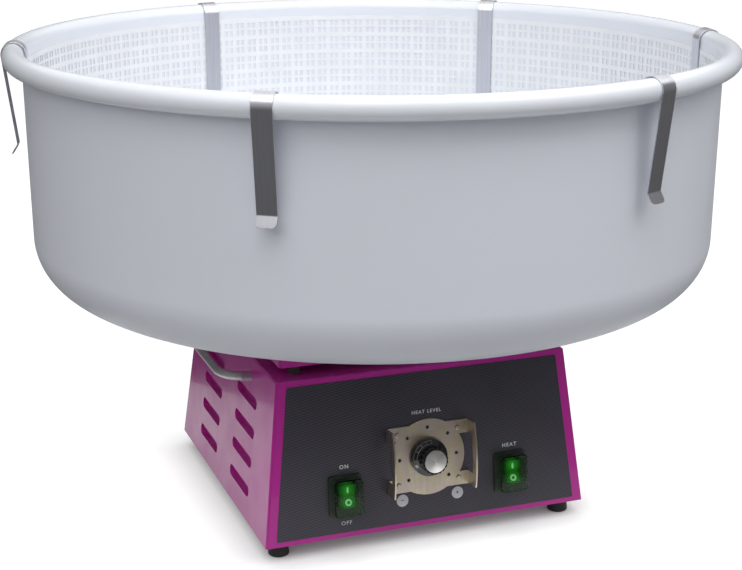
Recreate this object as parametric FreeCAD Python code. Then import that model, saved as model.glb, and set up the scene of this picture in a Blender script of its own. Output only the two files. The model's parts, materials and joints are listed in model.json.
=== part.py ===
import FreeCAD, Part
import math
import os

# Electric candy-floss machine: a round catch bowl with a net, standing on a spring-mounted pan
# above a tapered sheet-steel housing. All sizes are in millimetres.
# Origin: centre of the footprint on the floor. +Z up, the control panel faces -Y.

V = FreeCAD.Vector
Z_AXIS = V(0, 0, 1)
FULL_TURN = 360.0

# ---------------------------------------------------------------- driving dimensions
sheet = 1.5                      # steel sheet of the housing and the pan
seam_gap = 0.15                  # between two sheets that butt

# Housing: a box whose four sides lean in by the same angle
base_width = 325.4
base_depth = 317.4
housing_height = 154.5
lean_deg = 6.5
housing_edge_radius = 2.2
base_flange_height = 12.0
base_plate_gap = 0.2
motor_opening_radius = 60.0
rear_screw_inset = 45.6          # outer screws of the rear cover, in from the side of the base
rear_screw_level = 7.2

# Feet
foot_height = 15.0
foot_radius = 10.0
foot_top_radius = 8.6
foot_rim = 1.2
foot_inset_x = 17.7              # axis of a foot, in from the side of the base
foot_inset_y = 18.7
foot_recess_radius = 4.4
foot_recess_depth = 6.5

# Side vents
vent_length = 66.0
vent_height = 11.0
vent_rows = 4
vent_pitch = 29.3
vent_first_row = 28.0
vent_column_offset = 58.0
vent_pocket_depth = 6.0          # floor of the pressed pocket, in from the outer face

# Side handles
handle_rod_radius = 4.25
handle_standoff = 28.0
handle_leg_spacing = 130.0
handle_bend_radius = 20.0
handle_drop = 18.5               # below the top edge, along the slope
handle_collar_radius = 5.0
handle_collar_length = 10.0
handle_thread_length = 9.0
handle_hole_gap = 0.15

# Small fasteners
screw_radius = 2.0
screw_head_radius = 3.6
screw_head_height = 2.4
screw_gap = 0.2
screw_tip = 1.0                  # how far a screw stands past its nut
hole_run_through = 1.0           # how far a cutting tool runs past a face
nut_across_flats = 7.0
nut_height = 3.2
handle_nut_across_flats = 13.0
handle_nut_height = 5.0

# Front panel overlay (heights run up the slope from the bottom edge of the front)
overlay_thickness = 0.6
overlay_low_margin = 5.0
overlay_high_margin = 5.5
overlay_side_margin = 10.2
overlay_corner_radius = 1.5

# Knob guard
knob_height_on_panel = 67.2
guard_sheet = 1.5
guard_half_width = 41.8
guard_half_height = 32.0
guard_disc_radius = 37.0
guard_flange_depth = 18.5
guard_flange_bow = 4.0
guard_window_half_height = 18.7
guard_window_depth = 14.0
guard_bend_radius = 2.2
guard_hole_radius = 10.0
guard_screw_x = 30.5
guard_screw_y = 24.5
guard_screw_radius = 1.2
guard_screw_length = 5.6
guard_screw_head_radius = 2.4
guard_screw_head_height = 1.3
dial_hole_radius = 1.7
dial_hole_ring = 28.9
dial_hole_count = 7
dial_hole_step_deg = 45.0

# Knob and power regulator
knob_skirt_radius = 18.0
knob_skirt_height = 1.8
knob_flare_height = 4.2
knob_body_radius = 12.8
knob_front = 21.4                # front of the cap, out from the panel
knob_panel_gap = 2.4             # knob skirt to guard plate
knob_flute_count = 18
knob_flute_radius = 1.5
knob_flute_ring = 13.625
knob_bore_end = 4.0              # solid front of the knob behind its cap
knob_cap_radius = 10.9
knob_cap_thickness = 1.0
knob_cap_edge = 0.4
spindle_radius = 3.0
running_gap = 0.05
regulator_size = 27.0
regulator_depth = 19.0
regulator_bush_radius = 4.6
regulator_nut_across_flats = 12.0
regulator_nut_height = 2.2
regulator_bush_tip = 0.8
regulator_back_wall = 2.0
regulator_corner_radius = 2.0
regulator_fin_count = 5
regulator_fin_thickness = 1.6
regulator_fin_pitch = 4.8
regulator_fin_depth = 6.0
spindle_end_gap = 1.0

# Rocker switches under clear caps
switch_offset_x = 84.0
switch_height_on_panel = 41.0
switch_body_width = 21.6
switch_body_length = 29.6
switch_body_depth = 22.0
switch_cut_gap = 0.2
bezel_width = 32.5
bezel_length = 39.5
bezel_height = 2.2
bezel_corner_radius = 3.0
rocker_width = 17.0
rocker_length = 22.0
rocker_rise = 8.2                # ridge of the rocker, out from the panel
rocker_window_gap = 0.5
rocker_pivot_depth = 1.0         # pivot axis, behind the panel face
rocker_pin_radius = 1.5
rocker_pin_length = 1.4
rocker_tilt_deg = 8.0            # either side of the middle
rocker_face_slope_deg = 9.0
rocker_keel_depth = 6.6          # below the pivot
rocker_keel_half_width = 4.95
rocker_well_depth = 9.24         # below the pivot
cap_width = 28.5
cap_length = 35.5
cap_front = 14.5                 # out from the panel
cap_wall = 0.9
cap_corner_radius = 4.0
terminal_blade = (6.3, 0.8, 8.0)
terminal_blade_x = 5.2
terminal_blade_y = 8.0

# Vibration dampers between the housing and the pan
damper_radius = 6.0
damper_waist = 5.2
damper_height = 10.5
damper_edge = 1.5
damper_inset_x = 18.5            # axis of a damper, in from the side of the pan
damper_inset_y = 15.0

# Pan that carries the motor and the bowl
pan_inset_x = 6.1                # in from the edge of the housing top
pan_inset_y = 8.1
pan_height = 44.4
pan_edge_radius = 3.0
pan_flange_width = 30.0
bowl_seat_gap = 0.6
bowl_seat_height = 7.0
shaft_collar_radius = 14.0
shaft_collar_height = 12.0

# Motor
motor_radius = 45.0
motor_wall = 2.0
motor_length = 87.0
motor_magnet_radius = 31.5
motor_magnet_length = 60.0
motor_air_gap = 1.2
motor_bell_radius = 47.0
motor_bell_height = 10.0
motor_boss_radius = 19.0
motor_boss_height = 8.0
pillar_radius = 4.0
pillar_ring = 39.0
pillar_count = 4
pillar_length = 36.0
pillar_first_deg = 45.0
shaft_radius = 5.0
bearing_outer_radius = 15.0
bearing_width = 9.0
bearing_seat_gap = 0.02
bearing_groove_depth = 0.8
bearing_groove_outer_radius = 12.3
bearing_groove_inner_radius = 8.0
shaft_bell_gap = 2.0
shaft_chamfer = 0.8
shaft_tip = 3.0                  # above the head's nut
shaft_stub = 7.0                 # below the motor can
armature_slots = 12
armature_slot_radius = 2.6
armature_slot_inset = 1.04

# Slip rings and brushes
ring_hub_above_bell = 2.5
ring_hub_radius = 13.0
ring_hub_height = 27.0
ring_outer_radius = 18.0
ring_width = 7.0
ring_pitch = 13.0
brush_size = 6.0
brush_length = 18.0
brush_gap = 0.3
brush_slot_gap = 0.1
brush_holder_size = (26.0, 18.0, 26.0)
brush_holder_gap = 3.0
brush_holder_back_wall = 3.0

# Spinner head
head_radius = 65.0
head_underside_above_pan = 31.0
head_base_thickness = 4.0
head_lip_height = 4.0
head_lip_width = 3.4
head_hub_radius = 12.0
head_hub_drop = 10.0
head_edge_chamfer = 3.0
band_height = 26.0
band_thickness = 1.0
band_gap = 0.1
band_slot_count = 36
band_slot_width = 2.0
band_slot_height = 17.0
cover_rise = 17.0
cover_wall = 2.4
cover_edge_height = 4.0
cover_edge_inset = 1.0
cover_edge_thickness = 5.0
cover_shoulder_share = 0.8       # where the dome's arc is set, as a share of the edge's radius
cover_shoulder_rise = 11.22
sugar_lip_width = 2.0
sugar_crest_width = 7.0
sugar_hole_radius = 24.0
sugar_funnel_depth = 8.0
heater_radius = 53.5
heater_depth = 6.0
heater_height = 20.0
heater_folds = 30
heater_thickness = 0.8
heater_seat_gap = 0.3
head_screw_ring = 40.0
head_screw_count = 3
head_screw_first_deg = 90.0
head_screw_head_gap = 0.4
head_nut_across_flats = 17.0
head_nut_height = 8.0

# Catch bowl
bowl_rim_radius = 350.0
bowl_height = 234.0
bowl_bead_radius = 10.0
bowl_wall = 2.2
bowl_draft_deg = 0.5
bowl_corner_radius = 53.0
bowl_hole_radius = 80.0
bowl_collar_height = 14.0
bowl_collar_fillet = 5.0
bowl_bead_end_deg = -125.0

# Net and its spring clips
net_thickness = 0.8
net_gap = 0.3
net_top_drop = 8.0               # below the centre line of the rim bead
net_width = 140.0
clip_azimuths = (167.6, -124.2, -67.0, -10.7, 46.5, 103.5)
clip_width = 17.5
clip_thickness = 1.1
clip_gap = 0.2
clip_sit = 0.5
clip_inner_leg = 98.0            # below the centre line of the rim bead
clip_outer_leg = 86.0
clip_tip_inset = 9.5             # end of the outer leg, in from the outside of the rim
clip_tab_out = 5.9
clip_tab_drop = 8.8
clip_bend_radius = 2.5
clip_tab_corner = 4.0

# Mains inlet and wiring
gland_inset = 57.7               # in from the side of the base
gland_level = 30.0
gland_thread_radius = 8.0
gland_bore_radius = 4.2
gland_across_flats = 22.0
gland_flange_height = 5.0
gland_dome_length = 14.0
gland_dome_radius = 10.12
gland_mouth_radius = 6.68
gland_dome_taper = 5.0
gland_thread_length = 12.0
gland_nut_height = 5.0
terminal_block_size = (58.0, 18.0, 17.0)
terminal_block_poles = 6
terminal_block_screw_radius = 2.2
terminal_block_screw_depth = 8.5
terminal_block_gap_width = 1.0
terminal_block_gap_depth = 11.05
terminal_block_offset_x = 57.75
terminal_block_inset_y = 60.0

# ---------------------------------------------------------------- levels and places
lean = math.radians(lean_deg)
housing_bottom = foot_height
housing_top = housing_bottom + housing_height
slope_length = housing_height / math.cos(lean)
lean_inset = housing_height * math.tan(lean)
handle_level = slope_length - handle_drop
pan_width = base_width - 2 * (lean_inset + pan_inset_x)
pan_depth = base_depth - 2 * (lean_inset + pan_inset_y)
pan_bottom = housing_top + damper_height
pan_top = pan_bottom + pan_height
bowl_top = pan_top + bowl_height
bead_level = bowl_top - bowl_bead_radius
bead_ring_radius = bowl_rim_radius - bowl_bead_radius
bowl_inner_radius = bead_ring_radius - bowl_bead_radius
guard_back = overlay_thickness
guard_front = guard_back + guard_sheet
knob_back = guard_front + knob_panel_gap
head_bottom = pan_top + head_underside_above_pan
head_floor = head_bottom + head_base_thickness
band_top = head_floor + band_height
bell_top = pan_top - sheet - pillar_length
bell_bottom = bell_top - motor_bell_height
can_bottom = bell_bottom - motor_length
shaft_bottom = can_bottom - shaft_stub
ring_hub_bottom = bell_top + ring_hub_above_bell
brush_reach = ring_outer_radius + brush_gap
gland_offset_x = base_width / 2 - gland_inset


# ---------------------------------------------------------------- small helpers
def outline(start, *steps):
    """Closed face in the XZ plane. A step is a point, or a (through, end) pair for an arc."""
    edges = []
    here = start
    for step in steps + (start,):
        if isinstance(step[0], tuple):
            through, end = step
            edges.append(Part.Arc(flat(here), flat(through), flat(end)).toShape())
        else:
            end = step
            if math.dist(here, end) > 1e-6:
                edges.append(Part.makeLine(flat(here), flat(end)))
        here = end
    return Part.Face(Part.Wire(edges))


def flat(point):
    """Point of an XZ outline as a vector."""
    return V(point[0], 0, point[1])


def turned(face):
    """Solid of revolution about the Z axis."""
    return face.revolve(V(0, 0, 0), Z_AXIS, FULL_TURN)


def cylinder(radius, low, high, x=0.0, y=0.0):
    """Upright cylinder between two levels."""
    return Part.makeCylinder(radius, high - low, V(x, y, low), Z_AXIS)


def box(low, high):
    """Box between two opposite corners."""
    size = [high[i] - low[i] for i in range(3)]
    return Part.makeBox(size[0], size[1], size[2], V(*low))


def centred_box(width, length, low, high, x=0.0, y=0.0):
    """Box centred on (x, y) between two levels."""
    return box((x - width / 2, y - length / 2, low), (x + width / 2, y + length / 2, high))


def rounded_box(width, length, low, high, radius, x=0.0, y=0.0):
    """Upright box with rounded vertical edges."""
    block = centred_box(width, length, low, high, x, y)
    return block.makeFillet(radius, upright_edges(block))


def upright_edges(shape):
    """Straight edges of a shape that run along Z."""
    return [edge for edge in shape.Edges if is_along(edge, Z_AXIS)]


def is_along(edge, axis):
    """True if an edge is straight and runs along an axis."""
    if len(edge.Vertexes) != 2 or not isinstance(edge.Curve, Part.Line):
        return False
    run = edge.Vertexes[1].Point - edge.Vertexes[0].Point
    return run.cross(axis).Length < 1e-6 * run.Length


def hexagon(across_flats, low, high, x=0.0, y=0.0):
    """Upright hexagonal prism."""
    corners = [V(x + dx, y + dy, low) for dx, dy in ring_points(6, across_flats / math.sqrt(3.0))]
    return Part.Face(Part.makePolygon(corners + corners[:1])).extrude(V(0, 0, high - low))


def screw_holes(places, low, high):
    """Clearance holes for the machine's small screws."""
    return [cylinder(screw_radius + screw_gap, low, high, x, y) for x, y in places]


def obround(length, height, low, high, x=0.0, y=0.0):
    """Upright prism with the section of a slot that runs along X."""
    straight = length - height
    ends = [cylinder(height / 2, low, high, x + side * straight / 2, y) for side in (-1, 1)]
    return centred_box(straight, height, low, high, x, y).multiFuse(ends).removeSplitter()


def ring_points(count, radius, first_deg=0.0):
    """Evenly spaced points on a circle about the Z axis."""
    angles = [math.radians(first_deg + FULL_TURN * k / count) for k in range(count)]
    return [(radius * math.cos(a), radius * math.sin(a)) for a in angles]


def spread(count, pitch):
    """Places of a row of equal steps about zero."""
    return [(k - (count - 1) / 2) * pitch for k in range(count)]


def moved(shape, placement):
    """Copy of a shape in another place."""
    copy = shape.copy()
    copy.Placement = placement.multiply(copy.Placement)
    return copy


def corners_of(half_x, half_y):
    """Front left, front right, rear left and rear right corner of a rectangle about the Z axis."""
    return [(x * half_x, y * half_y) for y in (-1, 1) for x in (-1, 1)]


def face_placement(azimuth_deg, half_size):
    """Frame of a leaning face: X along it, Y up the slope, Z out of it. Azimuth 0 is the front."""
    turn = FreeCAD.Rotation(Z_AXIS, azimuth_deg)
    tilt = FreeCAD.Rotation(V(1, 0, 0), 90.0 - lean_deg)
    foot = turn.multVec(V(0, -half_size, 0)) + V(0, 0, housing_bottom)
    return FreeCAD.Placement(foot, turn.multiply(tilt))


FRONT = face_placement(0.0, base_depth / 2)
RIGHT = face_placement(90.0, base_width / 2)
REAR = face_placement(180.0, base_depth / 2)
LEFT = face_placement(-90.0, base_width / 2)


def on_front(shape):
    """Put a shape drawn on the panel plane onto the front of the housing."""
    return moved(shape, FRONT)


def at_knob(shape):
    """Put a shape drawn about the knob's axis onto the front of the housing."""
    return on_front(moved(shape, FreeCAD.Placement(V(0, knob_height_on_panel, 0), FreeCAD.Rotation())))


def at_switch(shape, side):
    """Put a shape drawn about a switch's middle onto the front of the housing."""
    middle = V(side * switch_offset_x, switch_height_on_panel, 0)
    return on_front(moved(shape, FreeCAD.Placement(middle, FreeCAD.Rotation())))


# ---------------------------------------------------------------- housing
def tapered_block(low, high, inset=0.0, inset_x=None):
    """Block with the housing's lean, its leaning faces set in by inset."""
    inset_x = inset if inset_x is None else inset_x
    draw_low, draw_high = [(level - housing_bottom) * math.tan(lean) for level in (low, high)]
    half_x = base_width / 2 - inset_x / math.cos(lean)
    half_y = base_depth / 2 - inset / math.cos(lean)
    x_low, x_high = half_x - draw_low, half_x - draw_high
    y_low, y_high = half_y - draw_low, half_y - draw_high
    block = Part.makeWedge(-x_low, low, -y_low, -y_high, -x_high, x_low, high, y_low, y_high, x_high)
    block.rotate(V(0, 0, 0), V(1, 0, 0), 90.0)
    return block


def housing_skin():
    """The whole sheet skin of the housing, open below, before it is divided into panels."""
    solid = tapered_block(housing_bottom, housing_top)
    edges = [edge for edge in solid.Edges if edge.BoundBox.ZMax > housing_top - 1e-3]
    rounded = solid.makeFillet(housing_edge_radius, edges)
    return rounded.cut(tapered_block(housing_bottom - sheet, housing_top - sheet, sheet))


def side_margin(extra):
    """Everything between the two side panels, less a margin."""
    return tapered_block(housing_bottom - sheet, housing_top + sheet, -sheet * 4, sheet + extra)


def rear_layer(depth, side_inset, high):
    """Layer of the rear sheet, from outside the housing in to a depth, up to a level."""
    outer = tapered_block(housing_bottom - sheet, high, -sheet * 4, side_inset)
    inner = tapered_block(housing_bottom - 2 * sheet, high + sheet, depth, -sheet * 4)
    rear_half = box((-base_width, 0, 0), (base_width, base_depth, housing_top * 2))
    return outer.cut(inner).common(rear_half)


def housing_wrap():
    """Front and top, folded from one sheet, with the openings of the panel and the motor."""
    wrap = housing_skin().common(side_margin(seam_gap))
    wrap = wrap.cut(rear_layer(sheet + seam_gap, -2 * sheet, housing_top - sheet))
    low, high = housing_top - 2 * sheet, housing_top + sheet
    cuts = [cylinder(motor_opening_radius, low, high)] + screw_holes(damper_places(), low, high)
    cuts += panel_openings(-2 * sheet, sheet)
    return wrap.cut(Part.Compound(cuts))


def panel_openings(low, high):
    """Holes of the front for the switches, the regulator's bush and the guard's screws."""
    cut_width = switch_body_width + 2 * switch_cut_gap
    cut_length = switch_body_length + 2 * switch_cut_gap
    switches = [at_switch(centred_box(cut_width, cut_length, low, high), side) for side in (-1, 1)]
    bush = at_knob(cylinder(regulator_bush_radius + switch_cut_gap, low, high))
    return switches + [bush] + [at_knob(hole) for hole in guard_screw_holes(low, high)]


def side_panel(side):
    """Side sheet with its rows of pressed vents and the holes of the handle."""
    half = box((0, -base_depth, 0), (base_width, base_depth, housing_top * 2))
    if side < 0:
        half = half.mirror(V(0, 0, 0), V(1, 0, 0))
    panel = housing_skin().cut(side_margin(0.0)).common(half)
    place = RIGHT if side > 0 else LEFT
    cut_panel = panel.cut(Part.Compound([moved(cut, place) for cut in side_cuts()]))
    return cut_panel.multiFuse([moved(vent_pocket(*spot), place) for spot in vent_places()]).removeSplitter()


def vent_places():
    """Middles of the vents of one side, drawn on its plane."""
    rows = [vent_first_row + row * vent_pitch for row in range(vent_rows)]
    return [(column * vent_column_offset, row) for row in rows for column in (-1, 1)]


def side_cuts():
    """Vents and handle holes of one side, drawn on its plane."""
    vents = [obround(vent_length, vent_height, -3 * sheet, sheet, x, y) for x, y in vent_places()]
    holes = [cylinder(handle_rod_radius + handle_hole_gap, -3 * sheet, sheet, x, handle_level)
             for x in handle_leg_places()]
    return vents + holes


def vent_pocket(x, y):
    """Pocket pressed in behind a vent, with a slit for the air along its upper side."""
    floor = -vent_pocket_depth
    shell = obround(vent_length + 2 * sheet, vent_height + 2 * sheet, floor - sheet, -sheet / 2, x, y)
    hollow = obround(vent_length, vent_height, floor, 0, x, y)
    slit_length = vent_length - vent_height
    slit = centred_box(slit_length, 2 * (sheet + hole_run_through), floor, -sheet, x, y + vent_height / 2)
    return shell.cut(hollow).cut(slit)


def rear_cover():
    """Rear sheet, set between the side panels, with the hole of the cable gland."""
    cover = housing_skin().common(rear_layer(2 * sheet, sheet + seam_gap, housing_top - sheet - seam_gap))
    hole = cylinder(gland_thread_radius + switch_cut_gap, -3 * sheet, sheet, gland_offset_x, gland_level)
    holes = [hole] + screw_holes(rear_screw_places(), -3 * sheet, sheet)
    return cover.cut(Part.Compound([moved(cut, REAR) for cut in holes]))


def base_plate():
    """Bottom tray whose flanges stand inside the housing."""
    inset = sheet + base_plate_gap
    tray = tapered_block(housing_bottom, housing_bottom + base_flange_height, inset)
    tray = tray.cut(tapered_block(housing_bottom + sheet, housing_top, inset + sheet))
    holes = screw_holes(foot_places(), 0, housing_bottom + 2 * sheet)
    rear = screw_holes(rear_screw_places(), -6 * sheet, 0)
    return tray.cut(Part.Compound(holes + [moved(hole, REAR) for hole in rear]))


def rear_screw_places():
    """Screws along the bottom of the rear cover, on its plane."""
    return [(side * (base_width / 2 - rear_screw_inset), rear_screw_level) for side in (-1, 0, 1)]


def housing_screws():
    """Screws that hold the rear cover to the base tray."""
    reach = sheet * 2 + base_plate_gap
    shank = cylinder(screw_radius, -reach - nut_height, 0)
    screw = cylinder(screw_head_radius, 0, screw_head_height).fuse(shank)
    head_edges = [edge for edge in screw.Edges if abs(edge.BoundBox.ZMin - screw_head_height) < 1e-6]
    screw = screw.makeFillet(screw_head_height * 0.5, head_edges)
    places = [FreeCAD.Placement(V(x, y, 0), FreeCAD.Rotation()) for x, y in rear_screw_places()]
    return Part.Compound([moved(moved(screw, place), REAR) for place in places])


# ---------------------------------------------------------------- feet
def foot_places():
    """Centres of the four feet."""
    return corners_of(base_width / 2 - foot_inset_x, base_depth / 2 - foot_inset_y)


def foot(x, y):
    """Tapered rubber foot with a recess for its screw."""
    shape = turned(outline((0, 0), (foot_radius - foot_rim, 0), (foot_radius, foot_rim),
                           (foot_top_radius, foot_height), (0, foot_height)))
    shape = shape.cut(cylinder(foot_recess_radius, 0, foot_recess_depth))
    shape = shape.cut(cylinder(screw_radius + screw_gap, 0, foot_height))
    shape.translate(V(x, y, 0))
    return shape


def foot_screws():
    """Screws and nuts that hold the feet to the base tray."""
    head_low = foot_recess_depth - screw_head_height
    nut_low = housing_bottom + sheet
    screws = []
    for x, y in foot_places():
        head = cylinder(screw_head_radius, head_low, foot_recess_depth, x, y)
        shank = cylinder(screw_radius, foot_recess_depth, nut_low + nut_height + screw_tip, x, y)
        screws.append(head.multiFuse([shank, hexagon(nut_across_flats, nut_low, nut_low + nut_height, x, y)]))
    return Part.Compound(screws)


# ---------------------------------------------------------------- handles
def bent_wire(points, radius):
    """Open wire through points, with its corners rounded."""
    edges = []
    here = V(*points[0])
    for k in range(1, len(points) - 1):
        corner = V(*points[k])
        back = (V(*points[k - 1]) - corner).normalize()
        ahead = (V(*points[k + 1]) - corner).normalize()
        half_angle = back.getAngle(ahead) / 2
        reach = radius / math.tan(half_angle)
        start, end = corner + back * reach, corner + ahead * reach
        inward = (back + ahead).normalize()
        middle = corner + inward * (radius / math.sin(half_angle) - radius)
        edges += [Part.makeLine(here, start), Part.Arc(start, middle, end).toShape()]
        here = end
    edges.append(Part.makeLine(here, V(*points[-1])))
    return Part.Wire(edges)


def handle_leg_places():
    """Where a handle's two legs stand along the side."""
    return (-handle_leg_spacing / 2, handle_leg_spacing / 2)


def handle(side):
    """Rod handle with a collar at each leg, its threaded ends reaching through the side."""
    near, far = handle_leg_places()
    inside = -(sheet + handle_thread_length)
    path = bent_wire([(near, handle_level, inside), (near, handle_level, handle_standoff),
                      (far, handle_level, handle_standoff), (far, handle_level, inside)], handle_bend_radius)
    section = Part.Wire(Part.makeCircle(handle_rod_radius, V(near, handle_level, inside), Z_AXIS))
    rod = path.makePipeShell([section], True, False)
    collars = [cylinder(handle_collar_radius, 0, handle_collar_length, x, handle_level) for x in (near, far)]
    return moved(rod.multiFuse(collars), RIGHT if side > 0 else LEFT)


def handle_nuts():
    """Nuts inside the housing on the handles' threaded ends."""
    nuts = []
    low = -sheet - handle_nut_height
    for place in (LEFT, RIGHT):
        for x in handle_leg_places():
            nut = hexagon(handle_nut_across_flats, low, -sheet, x, handle_level)
            nuts.append(moved(nut.cut(cylinder(handle_rod_radius, low, 0, x, handle_level)), place))
    return Part.Compound(nuts)


# ---------------------------------------------------------------- front panel
def overlay_half_width(height):
    """Half the width of the overlay at a height up the slope."""
    return base_width / 2 - height * math.sin(lean) - overlay_side_margin


def front_overlay():
    """Dark front sheet, a trapezium with the panel's openings."""
    low, high = overlay_low_margin, slope_length - overlay_high_margin
    wide, narrow = overlay_half_width(low), overlay_half_width(high)
    corners = [V(-wide, low, 0), V(wide, low, 0), V(narrow, high, 0), V(-narrow, high, 0)]
    blank = Part.Face(Part.makePolygon(corners + corners[:1])).extrude(V(0, 0, overlay_thickness))
    blank = blank.makeFillet(overlay_corner_radius, upright_edges(blank))
    return on_front(blank).cut(Part.Compound(panel_openings(-sheet, sheet)))


def guard_screw_places():
    """Screws of the knob guard, about the knob's axis."""
    return [(x * guard_screw_x, y * guard_screw_y) for x in (-1, 1) for y in (-1, 1)]


def dial_places():
    """Dial holes of the knob guard, none of them straight below the knob."""
    first = 90.0 - dial_hole_step_deg * (dial_hole_count - 1) / 2
    angles = [math.radians(first + dial_hole_step_deg * k) for k in range(dial_hole_count)]
    return [(dial_hole_ring * math.cos(a), dial_hole_ring * math.sin(a)) for a in angles]


def guard_screw_holes(low, high):
    """Clearance holes for the guard's screws, about the knob's axis."""
    return [cylinder(guard_screw_radius + screw_gap, low, high, x, y) for x, y in guard_screw_places()]


def guard_flange(side):
    """Side wing of the knob guard, with a bowed front edge and a window."""
    half, deep = guard_half_height, guard_flange_depth
    face = outline((-half, 0), (-half, deep), ((0, deep + guard_flange_bow), (half, deep)), (half, 0))
    wing = face.extrude(V(0, guard_sheet, 0))
    wing.rotate(V(0, 0, 0), Z_AXIS, 90.0)
    wing.translate(V(guard_half_width if side > 0 else -guard_half_width + guard_sheet, 0, 0))
    return wing


def knob_guard():
    """Bent sheet guard: a plate with a round swell, two windowed wings and a ring of dial holes."""
    plate = centred_box(2 * guard_half_width, 2 * guard_half_height, 0, guard_sheet)
    disc = cylinder(guard_disc_radius, 0, guard_sheet)
    sharp = plate.multiFuse([guard_flange(-1), guard_flange(1)]).removeSplitter()
    bends = [edge for edge in sharp.Edges if is_along(edge, V(0, 1, 0)) and edge.BoundBox.ZMax < 1e-6
             and abs(abs(edge.CenterOfMass.x) - guard_half_width) < 1e-6]
    folded = sharp.makeFillet(guard_bend_radius, bends)
    reach = guard_half_width + guard_sheet
    window = centred_box(2 * reach, 2 * guard_window_half_height, -guard_sheet, guard_window_depth)
    window = window.cut(cylinder(guard_disc_radius, -2 * guard_sheet, guard_window_depth + hole_run_through))
    low, high = -guard_sheet, 2 * guard_sheet
    holes = [cylinder(guard_hole_radius, low, high)]
    holes += [cylinder(dial_hole_radius, low, high, x, y) for x, y in dial_places()]
    holes += guard_screw_holes(low, high)
    guard = folded.cut(window).fuse(disc).cut(Part.Compound(holes)).removeSplitter()
    guard.translate(V(0, 0, guard_back))
    return at_knob(guard)


def knob_guard_screws():
    """Small button-head screws of the knob guard."""
    screws = []
    for x, y in guard_screw_places():
        top = guard_front + guard_screw_head_height
        head = cylinder(guard_screw_head_radius, guard_front, top, x, y)
        rims = [edge for edge in head.Edges if abs(edge.BoundBox.ZMin - top) < 1e-6]
        head = head.makeFillet(guard_screw_head_height * 0.6, rims)
        shank = cylinder(guard_screw_radius, guard_front - guard_screw_length, guard_front, x, y)
        screws.append(at_knob(head.fuse(shank)))
    return Part.Compound(screws)


# ---------------------------------------------------------------- knob and regulator
def knob():
    """Fluted knob with a flared skirt, bored for the spindle."""
    skirt_top = knob_back + knob_skirt_height
    flare_top = skirt_top + knob_flare_height
    front = knob_front - knob_cap_thickness
    body = turned(outline((0, knob_back), (knob_skirt_radius, knob_back), (knob_skirt_radius, skirt_top),
                          (knob_body_radius, flare_top), (knob_body_radius, front), (0, front)))
    flutes = [cylinder(knob_flute_radius, flare_top + 1.0, front + hole_run_through, x, y)
              for x, y in ring_points(knob_flute_count, knob_flute_ring)]
    bore = cylinder(spindle_radius, knob_back - hole_run_through, front - knob_bore_end)
    return at_knob(body.cut(Part.Compound(flutes)).cut(bore))


def knob_cap():
    """Turned aluminium disc on the front of the knob."""
    low = knob_front - knob_cap_thickness
    disc = turned(outline((0, low), (knob_cap_radius, low), (knob_cap_radius, knob_front - knob_cap_edge),
                          (knob_cap_radius - knob_cap_edge, knob_front), (0, knob_front)))
    return at_knob(disc)


def regulator_spindle():
    """Spindle that the knob turns inside the regulator."""
    low = -sheet - regulator_depth + regulator_back_wall + spindle_end_gap
    return at_knob(cylinder(spindle_radius, low, knob_front - knob_cap_thickness - knob_bore_end))


def power_regulator():
    """Regulator behind the panel, its bush through the panel and held by a nut."""
    back = -sheet - regulator_depth
    body = rounded_box(regulator_size, regulator_size, back, -sheet, regulator_corner_radius)
    nut_top = overlay_thickness + regulator_nut_height
    bush_top = nut_top + regulator_bush_tip
    bush = cylinder(regulator_bush_radius, -sheet, bush_top)
    nut = hexagon(regulator_nut_across_flats, overlay_thickness, nut_top)
    fins = [centred_box(regulator_size, regulator_fin_thickness, back - regulator_fin_depth, back, 0, y)
            for y in spread(regulator_fin_count, regulator_fin_pitch)]
    bore = cylinder(spindle_radius + running_gap, back + regulator_back_wall, bush_top + hole_run_through)
    return at_knob(body.multiFuse([bush, nut] + fins).cut(bore))


# ---------------------------------------------------------------- switches
def switch_body(side):
    """Switch with a broad bezel, a well for the rocker and blade terminals behind."""
    face = overlay_thickness
    back = -switch_body_depth
    bezel = rounded_box(bezel_width, bezel_length, face, face + bezel_height, bezel_corner_radius)
    body = bezel.fuse(centred_box(switch_body_width, switch_body_length, back, face))
    well_floor = -rocker_pivot_depth - rocker_well_depth
    gap = 2 * rocker_window_gap
    well_top = face + bezel_height + hole_run_through
    well = centred_box(rocker_width + gap, rocker_length + 2 * gap, well_floor, well_top)
    width, thickness, length = terminal_blade
    blades = [centred_box(width, thickness, back - length, back, x, y)
              for x, y in corners_of(terminal_blade_x, terminal_blade_y)]
    pin_reach = switch_body_width / 2 + hole_run_through
    pins = Part.makeCylinder(rocker_pin_radius + running_gap, 2 * pin_reach,
                             V(-pin_reach, 0, -rocker_pivot_depth), V(1, 0, 0))
    return at_switch(body.cut(well).multiFuse(blades).cut(pins), side)


def switch_cap(side):
    """Clear soft cap over the rocker, seated on the bezel."""
    low = overlay_thickness + bezel_height
    outer = rounded_box(cap_width, cap_length, low, cap_front, cap_corner_radius)
    rims = [edge for edge in outer.Edges if edge.BoundBox.ZMin > cap_front - 1e-3]
    outer = outer.makeFillet(cap_corner_radius * 0.55, rims)
    inner = rounded_box(cap_width - 2 * cap_wall, cap_length - 2 * cap_wall, low - hole_run_through,
                        cap_front - cap_wall, cap_corner_radius - cap_wall)
    return at_switch(outer.cut(inner), side)


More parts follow.
